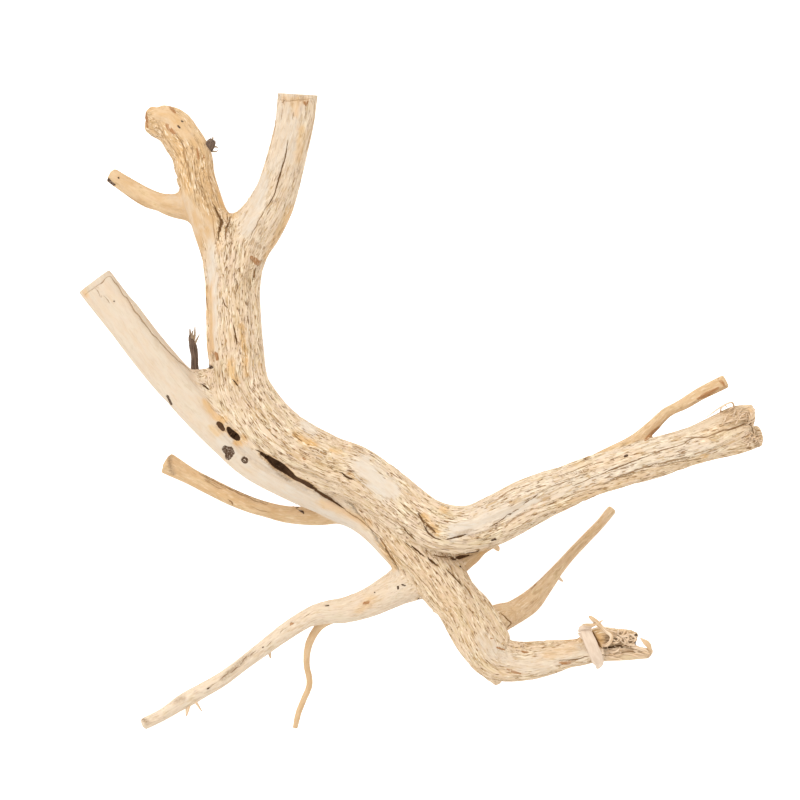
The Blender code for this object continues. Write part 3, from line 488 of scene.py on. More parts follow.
sawCuts = {
    "block": 0.044,
    "rightArm": ((-0.0780, 0.2071, 0.0820), (0.06, 0.98, 0.17)),
    "leftLimb": ((-0.2080, 0.0875, 0.0797), (-0.60, 0.79, 0.10)),
    "floorBlock": (0.60, 0.60, 0.04),
}


# Value noise from -1 to 1 at an array of points, the same on every run
def noise(points, seed):
    cells = np.floor(points).astype(np.int64)
    local = points - cells
    fade = local * local * (3.0 - 2.0 * local)
    total = np.zeros(len(points))
    for corner in itertools.product((0, 1), repeat=3):
        x, y, z = (cells + corner).T
        mixed = (x * 73856093) ^ (y * 19349663) ^ (z * 83492791) ^ (seed * 2654435)
        mixed = (mixed ^ (mixed >> 13)) * 1274126177
        value = ((mixed ^ (mixed >> 16)) & 0xFFFF) / 32767.5 - 1.0
        total += np.prod(np.where(corner, fade, 1.0 - fade), axis=1) * value
    return total


def step(low, high, value):
    t = np.clip((value - low) / (high - low), 0.0, 1.0)
    return t * t * (3.0 - 2.0 * t)


# A smooth curve through a route's points, sampled evenly
def smoothRoute(stations, spacing):
    points = np.array(stations, float)
    before = np.vstack([2 * points[0] - points[1], points, 2 * points[-1] - points[-2]])
    samples = []
    for i in range(len(points) - 1):
        a, b, c, d = before[i:i + 4]
        steps = max(2, round(float(np.linalg.norm(c[:3] - b[:3])) / spacing))
        for t in np.arange(steps) / steps:
            curve = 2 * b + (c - a) * t + (2 * a - 5 * b + 4 * c - d) * t ** 2
            samples.append(0.5 * (curve + (3 * b - a - 3 * c + d) * t ** 3))
    samples.append(points[-1])
    return np.array(samples)


# A route with the grain's direction, the two directions across it and the length so far
def routeFrame(name, stations, number, spacing):
    samples = smoothRoute(stations, spacing)
    centre = samples[:, :3]
    along = np.gradient(centre, axis=0)
    along /= np.linalg.norm(along, axis=1)[:, None]
    over = np.array((0.0, 0.0, 1.0)) - along[:, 2:3] * along
    over /= np.maximum(np.linalg.norm(over, axis=1), 1e-6)[:, None]
    steps = np.linalg.norm(np.diff(centre, axis=0), axis=1)
    return {
        "name": name,
        "number": number,
        "centre": centre,
        "radius": samples[:, 3],
        "along": along,
        "over": over,
        "side": np.cross(along, over),
        "length": np.concatenate([[0.0], np.cumsum(steps)]),
        "seed": wood["seed"] + 10 * number,
    }


def smoothMaximum(a, b, width):
    overlap = np.clip(width - np.abs(a - b), 0.0, None) / width
    return np.maximum(a, b) + overlap * overlap * width / 4


def smoothMinimum(a, b, width):
    return -smoothMaximum(-a, -b, width)


def reliefHeight(u, v, length, radius, seed):
    strength = np.clip(radius / relief["slimLimb"], relief["slimRelief"], 1.0)
    slow = np.stack([u, v, length * relief["swellingStretch"]], axis=1) / relief["swellingSize"]
    width, reach = relief["fluteWidth"], relief["fluteLength"]
    flutes = noise(np.stack([u / width, v / width, length / reach], axis=1), seed + 1)
    width, reach = relief["furrowWidth"], relief["furrowLength"]
    furrows = noise(np.stack([u / width, v / width, length / reach], axis=1), seed + 2)
    furrows = np.exp(-(furrows / relief["furrowSharpness"]) ** 2)
    fine = relief["fluteHeight"] * flutes - relief["furrowDepth"] * furrows
    return relief["swellingShare"] * radius * noise(slow, seed) + strength * fine, furrows


# Where points lie on a limb: which of them are near it, how far from its plain tube,
# how far past its ends, their offset across the grain and along it, and the radius there
def limbPlaces(points, limb, stretch=1.0):
    scale = np.array((1.0, 1.0, 1.0 / stretch))
    centre = limb["centre"] * scale
    places = points * scale
    margin = limb["radius"].max() + wood["reach"]
    low = centre.min(axis=0) - margin
    high = centre.max(axis=0) + margin
    inside = np.nonzero(np.all((places > low) & (places < high), axis=1))[0]
    rows = []
    for chosen in np.array_split(inside, len(inside) // 20000 + 1):
        place = places[chosen]
        square = (place ** 2).sum(1)[:, None] - 2 * place @ centre.T + (centre ** 2).sum(1)[None, :]
        nearest = square.argmin(axis=1)
        offset = place - centre[nearest]
        ahead = (offset * limb["along"][nearest]).sum(1)
        up = (offset * limb["over"][nearest]).sum(1)
        across = (offset * limb["side"][nearest]).sum(1)
        radius = limb["radius"][nearest]
        last = len(centre) - 1
        past = np.where(nearest == last, ahead, np.where(nearest == 0, -ahead, -1.0))
        length = limb["length"][nearest] + ahead
        rows.append(np.stack([np.hypot(up, across) - radius, past, across, up, length, radius], axis=1))
    return inside, np.concatenate(rows).T


def twisted(across, up, length):
    turn = wood["spiral"] * length
    return across * np.cos(turn) - up * np.sin(turn), across * np.sin(turn) + up * np.cos(turn)


def limbDistance(points, limb, relieved=True, stretch=1.0):
    result = np.full(len(points), 1.0)
    inside, (away, past, across, up, length, radius) = limbPlaces(points, limb, stretch)
    if relieved:
        shrink = np.clip(radius / np.maximum(np.hypot(up, across), radius / 4), 0.0, 1.0)
        u, v = twisted(across * shrink, up * shrink, length)
        away = away - reliefHeight(u, v, length, radius, limb["seed"])[0]
    result[inside] = smoothMaximum(away, past, wood["endRounding"])
    return result


def woodDistance(points):
    total = np.full(len(points), 1.0)
    for limb in limbs:
        width = wood["closeBlend"] if limb["name"] in closeLimbs else wood["blend"]
        total = smoothMinimum(total, limbDistance(points, limb), width)
    for hollow in hollows:
        gap = limbDistance(points, hollow, relieved=False, stretch=wood["hollowStretch"])
        total = smoothMaximum(total, -gap, wood["hollowLip"])
    return total


# Each point's two nearest limbs with the grain there, and the nearest limb of each of the
# two sets of grain. "share" is how much the first of the two counts
def surveyLimbs(points):
    count = len(points)
    distance = np.full((2, count), 1.0)
    which = np.zeros((2, count), int)
    grain = np.zeros((2, count, 3))
    radii = np.full((2, count), 0.01)
    setDistance = np.full((2, count), 1.0)
    setGrain = np.zeros((2, count, 3))
    for limb in limbs:
        inside, (away, past, across, up, length, radius) = limbPlaces(points, limb)
        away = np.maximum(away, past)
        u, v = twisted(across, up, length)
        place = np.stack([u, v, length], axis=1)
        first = away < distance[0][inside]
        second = ~first & (away < distance[1][inside])
        moved = inside[first]
        for held in (distance, which, radii):
            held[1][moved] = held[0][moved]
        grain[1][moved] = grain[0][moved]
        for row, chosen in ((0, first), (1, second)):
            spot = inside[chosen]
            distance[row][spot] = away[chosen]
            which[row][spot] = limb["number"]
            radii[row][spot] = radius[chosen]
            grain[row][spot] = place[chosen]
        chosenSet = limbLooks[limb["name"]][3]
        if chosenSet < 0:
            continue
        better = away < setDistance[chosenSet][inside]
        spot = inside[better]
        setDistance[chosenSet][spot] = away[better]
        setGrain[chosenSet][spot] = place[better] + (0.0, 0.0, 0.61 * limb["number"])
    share = 0.5 + 0.5 * step(0.0, 0.004, distance[1] - distance[0])
    mix = step(-0.0015, 0.0015, setDistance[0] - setDistance[1])
    return {"which": which, "grain": grain, "radii": radii, "share": share,
            "setGrain": setGrain, "mix": mix}


# How the marks lie at each point of what the camera sees: the soft ones as a strength, knots and
# patches as how far out the point is, and the nearest crack as how far to one side, both in the
# mark's own half widths, so that the finishes can draw edges finer than the mesh
def surveyMarks(points, normals):
    plan = planOf(points)
    cell = (plan // 3).astype(int)
    cell -= cell.min(axis=0)
    key = cell[:, 0] * (cell[:, 1].max() + 1) + cell[:, 1]
    highest = np.full(key.max() + 1, -1.0)
    np.maximum.at(highest, key, points[:, 2])
    seen = step(-0.1, 0.25, normals[:, 2]) * (points[:, 2] > highest[key] - 0.009)
    wobble = noise(points / 0.0016, 3) * 0.5 + noise(points / 0.0042, 4) * 0.5
    bent = plan + 0.75 * np.stack([noise(points / 0.0036, 6), noise(points / 0.0036, 7)], axis=1)
    count = len(points)
    found = {name: np.zeros(count) for name in ("smooth", "stain", "shade", "crackTone", "dent")}
    found.update({name: np.full(count, 5.0) for name in ("knot", "rust")})
    found.update({"crackSide": np.full(count, 8.0), "crackNear": np.full(count, 9.0)})
    for kind, route, half, strength in woodMarks:
        stations = [(spot[0], spot[1], 0.0, spot[2] if len(spot) > 2 else half) for spot in route]
        samples = smoothRoute(stations, 0.7)
        centre, halves = samples[:, :2], samples[:, 3]
        reach = halves.max() * 3 + 4
        near = np.all((plan > centre.min(0) - reach) & (plan < centre.max(0) + reach), axis=1)
        spot = np.nonzero(near & (seen > 0.12))[0]
        if len(spot) == 0:
            continue
        drawn = bent if kind == "crack" else plan
        square = ((drawn[spot][:, None, :] - centre[None]) ** 2).sum(2)
        nearest = square.argmin(axis=1)
        along = np.gradient(centre, axis=0)
        along /= np.maximum(np.linalg.norm(along, axis=1), 1e-6)[:, None]
        offset, along = drawn[spot] - centre[nearest], along[nearest]
        side = along[:, 0] * offset[:, 1] - along[:, 1] * offset[:, 0]
        ahead = (along * offset).sum(1)
        last = len(centre) - 1
        past = np.where(nearest == last, ahead, np.where(nearest == 0, -ahead, 0.0)).clip(0.0)
        gap = np.hypot(side, past)
        width = halves[nearest]
        if kind == "crack":
            share = np.clip(nearest / last, 0.02, 0.98)
            width = width * (0.3 + 0.7 * np.sqrt(np.sin(math.pi * share))) * (1 + 0.45 * wobble[spot])
            closer = gap < found["crackNear"][spot]
            held = spot[closer]
            found["crackNear"][held] = gap[closer]
            found["crackSide"][held] = (np.where(side < 0, -1.0, 1.0) * gap / width)[closer]
            found["crackTone"][held] = strength
            deep = np.clip(0.0009 * width, None, 0.0013) * np.clip(1 - (gap / (width * 1.3 + 0.5)) ** 2, 0, 1)
            found["dent"][spot] = np.maximum(found["dent"][spot], deep)
        elif kind in ("knot", "rust"):
            found[kind][spot] = np.minimum(found[kind][spot], gap / width)
        elif kind == "ring":
            out = gap / width
            out = np.where(out < 0.15, 1.0 + (0.15 - out) / 0.12, out)
            found["knot"][spot] = np.minimum(found["knot"][spot], out)
        else:
            value = 1.0 - step(width * 0.35, width * 1.35, gap + 0.55 * width * wobble[spot])
            found[kind][spot] = np.maximum(found[kind][spot], value * strength * seen[spot])
    return found


# What the weather has done at each point: the fine relief's height and what colours the wood, with how deep it lies in
# furrows and hollows and how far it faces down, for painted shade there
def weather(points, normals):
    survey = surveyLimbs(points)
    marks = surveyMarks(points, normals)
    looks = np.array([limbLooks[limb["name"]][:3] for limb in limbs])
    share = survey["share"]
    pits, warm, pale = (
        looks[survey["which"][0]][:, k] * share + looks[survey["which"][1]][:, k] * (1 - share) for k in range(3)
    )
    rough = weathering["calm"] + (1 - weathering["calm"]) * pits
    rough = rough * (1 - 0.92 * marks["smooth"])
    pits = pits * (1 - 0.95 * marks["smooth"])
    height = np.zeros(len(points))
    furrowShade = np.zeros(len(points))
    for row, part in ((0, share), (1, 1 - share)):
        spots = survey["grain"][row]
        radius = survey["radii"][row]
        for number in np.unique(survey["which"][row]):
            here = np.nonzero((survey["which"][row] == number) & (part > 0.001))[0]
            if len(here) == 0:
                continue
            place = spots[here]
            seed = wood["seed"] + 10 * int(number)

            def stretched(width, length):
                return place / (width, width, length)

            ridges = noise(stretched(weathering["ridgeWidth"], weathering["ridgeLength"]), seed + 3)
            gullies = noise(stretched(weathering["gullyWidth"], weathering["gullyLength"]), seed + 4)
            gullies = np.exp(-(gullies / weathering["gullySharpness"]) ** 2)
            dips = noise(stretched(weathering["pitWidth"], weathering["pitLength"]), seed + 5)
            dips = step(weathering["pitFrom"], 0.8, dips)
            slim = np.clip(radius[here] / relief["slimLimb"], 0.3, 1.0)
            form = weathering["ridgeHeight"] * ridges
            form = form - weathering["gullyDepth"] * gullies * step(0.35, 0.8, rough[here])
            form = form - weathering["pitDepth"] * dips
            height[here] += part[here] * form * rough[here] * slim
            # how deep each point lies in furrows, gullies and pits, kept for the painted shade there
            deep = reliefHeight(place[:, 0], place[:, 1], place[:, 2], radius[here], seed)[1]
            deep = np.maximum(0.75 * deep * slim, 0.9 * gullies * step(0.35, 0.8, rough[here]))
            deep = np.maximum(deep, 0.8 * dips)
            furrowShade[here] += part[here] * deep * rough[here]
    rim = np.exp(-((marks["knot"] - 1.25) / 0.3) ** 2)
    height += 0.0003 * rim - marks["dent"] - 0.0004 * (1 - step(0.7, 1.1, marks["knot"]))
    hollow = np.full(len(points), 1.0)
    for route in hollows:
        hollow = np.minimum(hollow, limbDistance(points, route, relieved=False, stretch=wood["hollowStretch"]))
    masks = {
        "pits": pits,
        "warm": warm,
        "stain": marks["stain"],
        "shade": marks["shade"],
        "pale": np.clip(pale + marks["smooth"] * 0.8, 0.0, 1.0) * (1 - marks["stain"]),
        "furrowShade": furrowShade,
        "knot": marks["knot"],
        "rust": marks["rust"],
        "crackSide": marks["crackSide"],
        "crackNear": marks["crackNear"],
        "crackTone": marks["crackTone"],
        "hollow": np.clip(hollow * wood["millimetre"], -3.0, 9.0),
        # how far a surface faces down: partly less bleached wood, partly painted shade on the undersides
        "under": 1.0 - step(-0.45, 0.25, normals[:, 2]),
        "grainMix": survey["mix"],
    }
    return height, masks, survey["setGrain"]


# A ring is swept along a route by extruding its face and moving it on, so the tube is closed
def sweep(shape, frames, sides, squareness=1.0):
    ring = bmesh.ops.create_circle(shape, cap_ends=True, segments=sides, radius=1.0)["verts"]
    for corner in ring:
        corner.co.x = math.copysign(abs(corner.co.x) ** squareness, corner.co.x)
        corner.co.y = math.copysign(abs(corner.co.y) ** squareness, corner.co.y)
    tip = ring[0].link_faces[0]
    last = Matrix.Identity(4)
    for number, turn in enumerate(frames):
        if number:
            made = bmesh.ops.extrude_face_region(shape, geom=[tip])["geom"]
            tip = next(item for item in made if isinstance(item, bmesh.types.BMFace))
        bmesh.ops.transform(shape, matrix=turn @ last.inverted(), verts=tip.verts[:])
        last = turn


def frameMatrix(centre, side, over, along, wide, high):
    columns = [Vector(side) * wide, Vector(over) * high, Vector(along) * wide, Vector(centre)]
    return Matrix([[*(column[row] for column in columns)] for row in range(3)] + [[0, 0, 0, 1]])


def growTube(shape, limb, extra, stretch=1.0):
    count = len(limb["centre"])
    picks = sorted({*range(0, count, wood["tubeStep"]), count - 1})
    squeeze = np.array((1.0, 1.0, 1.0 / stretch))
    frames = [
        frameMatrix(limb["centre"][i] * squeeze, limb["side"][i], limb["over"][i], limb["along"][i],
                    limb["radius"][i] + extra, limb["radius"][i] + extra)
        for i in picks
    ]
    draft = bmesh.new()
    sweep(draft, frames, wood["tubeSides"])
    bmesh.ops.scale(draft, vec=(1.0, 1.0, stretch), verts=draft.verts)
    bmesh.ops.recalc_face_normals(draft, faces=draft.faces)
    held = bpy.data.meshes.new("tube")
    draft.to_mesh(held)
    draft.free()
    shape.from_mesh(held)
    bpy.data.meshes.remove(held)


def finishedObject(name, shape):
    mesh = bpy.data.meshes.new(name)
    shape.to_mesh(mesh)
    shape.free()
    item = bpy.data.objects.new(name, mesh)
    bpy.context.scene.collection.objects.link(item)
    return item


def applyModifiers(item):
    bpy.context.view_layer.update()
    graph = bpy.context.evaluated_depsgraph_get()
    mesh = bpy.data.meshes.new_from_object(item.evaluated_get(graph))
    item.modifiers.clear()
    item.data = mesh


def remesh(item, voxel):
    modifier = item.modifiers.new("remesh", "REMESH")
    modifier.mode = "VOXEL"
    modifier.voxel_size = voxel
    applyModifiers(item)


def cutAway(item, cutters, solver):
    for cutter in cutters:
        modifier = item.modifiers.new("cut", "BOOLEAN")
        modifier.operation = "DIFFERENCE"
        modifier.object = cutter
        modifier.solver = solver
        modifier.material_mode = "TRANSFER"
    applyModifiers(item)
    for cutter in cutters:
        bpy.data.objects.remove(cutter, do_unlink=True)


def vertexPlaces(item):
    flat = np.empty(len(item.data.vertices) * 3)
    item.data.vertices.foreach_get("co", flat)
    return flat.reshape(-1, 3)


def vertexNormals(item):
    flat = np.empty(len(item.data.vertices) * 3)
    item.data.vertices.foreach_get("normal", flat)
    return flat.reshape(-1, 3)


def movePlaces(item, places):
    item.data.vertices.foreach_set("co", places.ravel())
    item.data.update()


# Every vertex is moved onto the surface along the distance's own slope
def fitToSurface(item, chosen=slice(None)):
    everywhere = vertexPlaces(item)
    places = everywhere[chosen]
    for _ in range(wood["fittingRounds"]):
        here = woodDistance(places)
        slope = np.empty_like(places)
        for axis in range(3):
            probe = places.copy()
            probe[:, axis] += wood["probe"]
            slope[:, axis] = (woodDistance(probe) - here) / wood["probe"]
        steep = np.clip((slope ** 2).sum(1), 0.25, None)
        move = -(here / steep)[:, None] * slope
        size = np.linalg.norm(move, axis=1)
        places = places + move * np.clip(wood["voxel"] / np.maximum(size, 1e-9), None, 1.0)[:, None]
    everywhere[chosen] = places
    movePlaces(item, everywhere)


def cutBlock(name, place, axis, size, material):
    shape = bmesh.new()
    bmesh.ops.create_cube(shape, size=1.0)
    bmesh.ops.translate(shape, verts=shape.verts, vec=(0.0, 0.0, 0.5))
    bmesh.ops.scale(shape, verts=shape.verts, vec=size)
    turn = Vector(axis).to_track_quat("Z", "Y").to_matrix().to_4x4()
    turn.translation = place
    bmesh.ops.transform(shape, matrix=turn, verts=shape.verts)
    block = finishedObject(name, shape)
    block.data.materials.append(material)
    return block


def writeMask(mesh, name, values):
    attribute = mesh.attributes.new(name, "FLOAT", "POINT")
    attribute.data.foreach_set("value", np.asarray(values, np.float32))


def writeGrain(mesh, name, values):
    attribute = mesh.attributes.new(name, "FLOAT_VECTOR", "POINT")
    attribute.data.foreach_set("vector", np.asarray(values, np.float32).ravel())


woodColours = {
    "cream": (0.705, 0.556, 0.392),
    "tan": (0.600, 0.440, 0.265),
    "pale": (0.590, 0.545, 0.480),
    "blush": (0.690, 0.520, 0.395),
    "straw": (0.680, 0.552, 0.335),
    # painted highlight: the lit side of the fine relief beside the dashes
    "paintedHighlight": (0.800, 0.690, 0.520),
    "line": (0.435, 0.262, 0.100),
    "warm": (0.505, 0.325, 0.165),
    "mottle": (0.350, 0.205, 0.095),
    "stain": (0.560, 0.315, 0.110),
    # browner undersides: partly less bleached wood, partly painted shade
    "under": (0.500, 0.350, 0.210),
    # painted shade in the furrows, gullies and pits, also the lighter end of the dash colour
    "furrowShade": (0.360, 0.200, 0.082),
    "pit": (0.190, 0.100, 0.040),
    # painted shade in gaps and down crack walls, partly the wood's own brown
    "shade": (0.230, 0.145, 0.080),
    "rust": (0.330, 0.160, 0.065),
    "knot": (0.075, 0.040, 0.022),
    "knotLump": (0.230, 0.175, 0.130),
    # cracks run from this groove brown to near black: their own colour with painted shade in their depth
    "groove": (0.350, 0.185, 0.070),
    "crack": (0.092, 0.045, 0.018),
    # painted shade inside the hollows
    "recessShade": (0.085, 0.042, 0.020),
}
# Sizes across and along the grain, in metres, and how much of each shows
woodGrain = {
    "fibreWidth": 0.00045, "fibreLength": 0.011,
    "streakWidth": 0.0023, "streakLength": 0.030,
    "lineWidth": 0.0022, "lineLength": 0.015, "lineSharpness": 0.045,
    "lineBreakWidth": 0.0018, "lineBreakLength": 0.010,
    "combWidth": 0.0019, "combLength": 0.045, "combSharpness": 0.050,
    "dashWidth": 0.00072, "dashLength": 0.0048, "dashFrom": 0.615, "dashTo": 0.665,
    "paintedHighlightFrom": 0.400, "paintedHighlightTo": 0.330,
    "rowWidth": 0.0030, "rowLength": 0.020,
    "mottleWidth": 0.0060, "mottleLength": 0.014,
    "bumpDistance": 0.0009, "bumpStrength": 0.8,
}
sawnEnd = {"colour": (0.570, 0.490, 0.385), "ring": (0.470, 0.370, 0.255), "rim": (0.330, 0.200, 0.100),
           "ringWidth": 0.0016, "rimFrom": 0.0112}
barkFinish = {"colour": (0.060, 0.040, 0.030), "light": (0.210, 0.145, 0.105), "splinter": (0.30, 0.22, 0.14)}


grainParts = ("Streaks", "Lines", "Dashes", "PaintedHighlights", "Fibres", "Mottle")


class NodeSheet:
    def __init__(self, tree):
        self.tree = tree

    def add(self, kind, **values):
        node = self.tree.nodes.new(kind)
        for key, value in values.items():
            setattr(node, key, value)
        return node

    def join(self, source, target):
        self.tree.links.new(source, target)

    def math(self, operation, first, second=None, third=None, clamp=False):
        node = self.add("ShaderNodeMath", operation=operation, use_clamp=clamp)
        for socket, value in zip(node.inputs, (first, second, third)):
            self.feed(socket, value)
        return node.outputs[0]

    def feed(self, socket, value):
        if value is None:
            return
        if isinstance(value, bpy.types.NodeSocket):
            self.join(value, socket)
        else:
            socket.default_value = value

    def mixColour(self, amount, first, second):
        node = self.add("ShaderNodeMix", data_type="RGBA")
        self.feed(node.inputs[0], amount)
        self.feed(node.inputs[6], first if isinstance(first, bpy.types.NodeSocket) else (*first, 1.0))
        self.feed(node.inputs[7], second if isinstance(second, bpy.types.NodeSocket) else (*second, 1.0))
        return node.outputs[2]

    def mixValue(self, amount, first, second):
        node = self.add("ShaderNodeMix", data_type="FLOAT")
        self.feed(node.inputs[0], amount)
        self.feed(node.inputs[2], first)
        self.feed(node.inputs[3], second)
        return node.outputs[0]

    def mapRange(self, value, low, high, toLow=0.0, toHigh=1.0):
        node = self.add("ShaderNodeMapRange", interpolation_type="SMOOTHSTEP")
        for socket, number in zip(node.inputs, (value, low, high, toLow, toHigh)):
            self.feed(socket, number)
        return node.outputs[0]

    def stretchedNoise(self, vector, width, length, detail, roughness=0.5, offset=0.0):
        scaled = self.add("ShaderNodeMapping", vector_type="POINT")
        self.join(vector, scaled.inputs["Vector"])
        scaled.inputs["Scale"].default_value = (1 / width, 1 / width, 1 / length)
        scaled.inputs["Location"].default_value = (offset, offset * 0.7, 0.0)
        texture = self.add("ShaderNodeTexNoise", noise_dimensions="3D")
        texture.inputs["Scale"].default_value = 1.0
        texture.inputs["Detail"].default_value = detail
        texture.inputs["Roughness"].default_value = roughness
        self.join(scaled.outputs[0], texture.inputs["Vector"])
        return texture.outputs[0]

    def attribute(self, name):
        return self.add("ShaderNodeAttribute", attribute_type="GEOMETRY", attribute_name=name)


# Grain that runs along a limb: soft streaks, thin wavy lines, short dark dashes in rows,
# pale painted highlights beside them, fine fibres and a slow change of tint
def makeGrainGroup():
    tree = bpy.data.node_groups.new("woodGrain", "ShaderNodeTree")
    tree.interface.new_socket("Place", in_out="INPUT", socket_type="NodeSocketVector")
    for name in grainParts:
        tree.interface.new_socket(name, in_out="OUTPUT", socket_type="NodeSocketFloat")
    sheet = NodeSheet(tree)
    given = sheet.add("NodeGroupInput")
    result = sheet.add("NodeGroupOutput")

    def grown(name, detail, roughness, offset):
        width, length = woodGrain[name + "Width"], woodGrain[name + "Length"]
        return sheet.stretchedNoise(given.outputs["Place"], width, length, detail, roughness, offset)

    streaks = sheet.mapRange(grown("streak", 4.0, 0.6, 0.0), 0.30, 0.70)

    def contours(name, offset):
        away = sheet.math("ABSOLUTE", sheet.math("SUBTRACT", grown(name, 1.5, 0.45, offset), 0.5))
        return sheet.mapRange(away, woodGrain[name + "Sharpness"], woodGrain[name + "Sharpness"] * 0.25)

    lines = sheet.math("MAXIMUM", contours("line", 1.7), sheet.math("MULTIPLY", contours("comb", 8.1), 0.55))
    lines = sheet.math("MULTIPLY", lines, sheet.mapRange(grown("lineBreak", 1.0, 0.5, 2.9), 0.42, 0.58))
    rows = sheet.mapRange(grown("row", 1.0, 0.5, 4.3), 0.38, 0.62, -0.045, 0.035)
    dash = grown("dash", 1.0, 0.4, 7.3)
    dashes = sheet.mapRange(sheet.math("ADD", dash, rows), woodGrain["dashFrom"], woodGrain["dashTo"])
    # pale painted highlights where the dash noise is low, beside the dashes
    paintedHighlights = sheet.mapRange(sheet.math("SUBTRACT", dash, rows), woodGrain["paintedHighlightFrom"], woodGrain["paintedHighlightTo"])
    fibres = grown("fibre", 2.0, 0.5, 3.1)
    mottle = grown("mottle", 3.0, 0.6, 5.7)
    for socket, value in zip(result.inputs, (streaks, lines, dashes, paintedHighlights, fibres, mottle)):
        sheet.join(value, socket)
    return tree


def makeWoodMaterial(grainGroup):
    material = bpy.data.materials.new("weatheredWood")
    material.use_nodes = True
    sheet = NodeSheet(material.node_tree)
    surface = material.node_tree.nodes["Principled BSDF"]
    grains = []
    for name in ("grainA", "grainB"):
        grain = sheet.add("ShaderNodeGroup", node_tree=grainGroup)
        sheet.join(sheet.attribute(name).outputs["Vector"], grain.inputs["Place"])
        grains.append(grain)
    mix = sheet.attribute("grainMix").outputs["Fac"]
    streaks, lines, dashes, paintedHighlights, fibres, mottle = (
        sheet.mixValue(mix, grains[0].outputs[name], grains[1].outputs[name]) for name in grainParts
    )
    mask = {name: sheet.attribute(name).outputs["Fac"]
            for name in ("pits", "warm", "stain", "shade", "pale", "under", "furrowShade", "knot", "rust",
                         "crackSide", "crackNear", "crackTone", "hollow")}
    place = sheet.add("ShaderNodeTexCoord").outputs["Object"]
    coarse = sheet.stretchedNoise(place, 0.0035, 0.0035, 2.0, 0.5)
    fine = sheet.stretchedNoise(place, 0.0011, 0.0011, 2.0, 0.6, 3.0)

    def edged(distance, low, high, wander):
        moved = sheet.math("ADD", distance, sheet.math("MULTIPLY", sheet.math("SUBTRACT", fine, 0.5), wander))
        return sheet.mapRange(moved, high, low)

    def times(*values):
        product = values[0]
        for value in values[1:]:
            product = sheet.math("MULTIPLY", product, value)
        return product

    crack = times(edged(sheet.math("ABSOLUTE", mask["crackSide"]), 0.55, 1.25, 1.1),
                  sheet.mapRange(mask["crackNear"], 1.9, 1.4),
                  sheet.mapRange(mask["crackTone"], 0.0, 0.6, 0.50, 1.0))
    knot = edged(mask["knot"], 0.88, 1.06, 0.55)
    rust = times(edged(mask["rust"], 0.75, 1.15, 1.1), sheet.mapRange(fibres, 0.34, 0.56, 0.55, 1.0))
    # painted shade inside the hollows, darker past their lip
    recessShade = edged(mask["hollow"], 0.22, 0.50, 0.30)
    # slow tints first, then the grain with its painted highlights, then what the weather and rot have left, with
    # painted shade in furrows, cracks and hollows
    colour = sheet.mixColour(sheet.mapRange(coarse, 0.42, 0.66), woodColours["cream"], woodColours["blush"])
    colour = sheet.mixColour(sheet.mapRange(mottle, 0.50, 0.66, 0.0, 0.8), colour, woodColours["straw"])
    colour = sheet.mixColour(times(streaks, 0.50), colour, woodColours["tan"])
    colour = sheet.mixColour(times(mask["pale"], sheet.mapRange(mottle, 0.25, 0.6, 0.65, 0.95)),
                             colour, woodColours["pale"])
    colour = sheet.mixColour(times(mask["warm"], sheet.mapRange(mottle, 0.62, 0.36, 0.62, 0.97)),
                             colour, woodColours["warm"])
    colour = sheet.mixColour(times(mask["warm"], sheet.mapRange(mottle, 0.60, 0.70, 0.0, 0.6)),
                             colour, woodColours["mottle"])
    colour = sheet.mixColour(times(mask["stain"], sheet.mapRange(streaks, 0.0, 1.0, 0.55, 0.95)),
                             colour, woodColours["stain"])
    # undersides browner: partly less bleached wood, partly painted shade
    colour = sheet.mixColour(times(mask["under"], sheet.mapRange(streaks, 0.0, 1.0, 0.40, 0.80)),
                             colour, woodColours["under"])
    colour = sheet.mixColour(sheet.mapRange(fibres, 0.35, 0.68, 0.0, 0.22), colour, woodColours["tan"])
    # painted highlights beside the dashes, where the wood is pitted
    colour = sheet.mixColour(times(paintedHighlights, sheet.mapRange(mask["pits"], 0.0, 0.6, 0.0, 0.65)),
                             colour, woodColours["paintedHighlight"])
    lineShare = times(lines, sheet.mapRange(mask["pits"], 0.0, 0.6, 0.14, 0.62))
    colour = sheet.mixColour(lineShare, colour, woodColours["line"])
    # painted shade in the furrows, gullies and pits
    furrowShadeShare = times(sheet.mapRange(mask["furrowShade"], 0.45, 0.95, 0.0, 0.36), sheet.mapRange(fibres, 0.3, 0.6, 0.3, 1.0))
    colour = sheet.mixColour(furrowShadeShare, colour, woodColours["furrowShade"])
    # short dark dashes of the pits, coloured between the furrows' painted shade brown and the pit brown
    dashShare = times(dashes, sheet.mapRange(mask["pits"], 0.05, 0.7, 0.0, 0.88))
    colour = sheet.mixColour(dashShare, colour, sheet.mixColour(sheet.mapRange(coarse, 0.40, 0.62),
                                                                woodColours["furrowShade"], woodColours["pit"]))
    # soft brown marks: painted shade in gaps and down crack walls, partly the wood's own brown
    colour = sheet.mixColour(times(mask["shade"], sheet.mapRange(fine, 0.4, 0.6, 0.5, 1.0)), colour, woodColours["shade"])
    colour = sheet.mixColour(rust, colour, woodColours["rust"])
    colour = sheet.mixColour(knot, colour, sheet.mixColour(sheet.mapRange(fine, 0.50, 0.62), woodColours["knot"],
                                                           woodColours["knotLump"]))
    rim = times(sheet.mapRange(mask["hollow"], 2.2, 0.2, 0.0, 0.5), sheet.mapRange(coarse, 0.4, 0.6, 0.3, 1.0))
    colour = sheet.mixColour(rim, colour, woodColours["stain"])
    # cracks and grooves: their own brown, darkening with painted shade in their depth
    tone = sheet.mixColour(mask["crackTone"], woodColours["groove"], woodColours["crack"])
    colour = sheet.mixColour(crack, colour, tone)
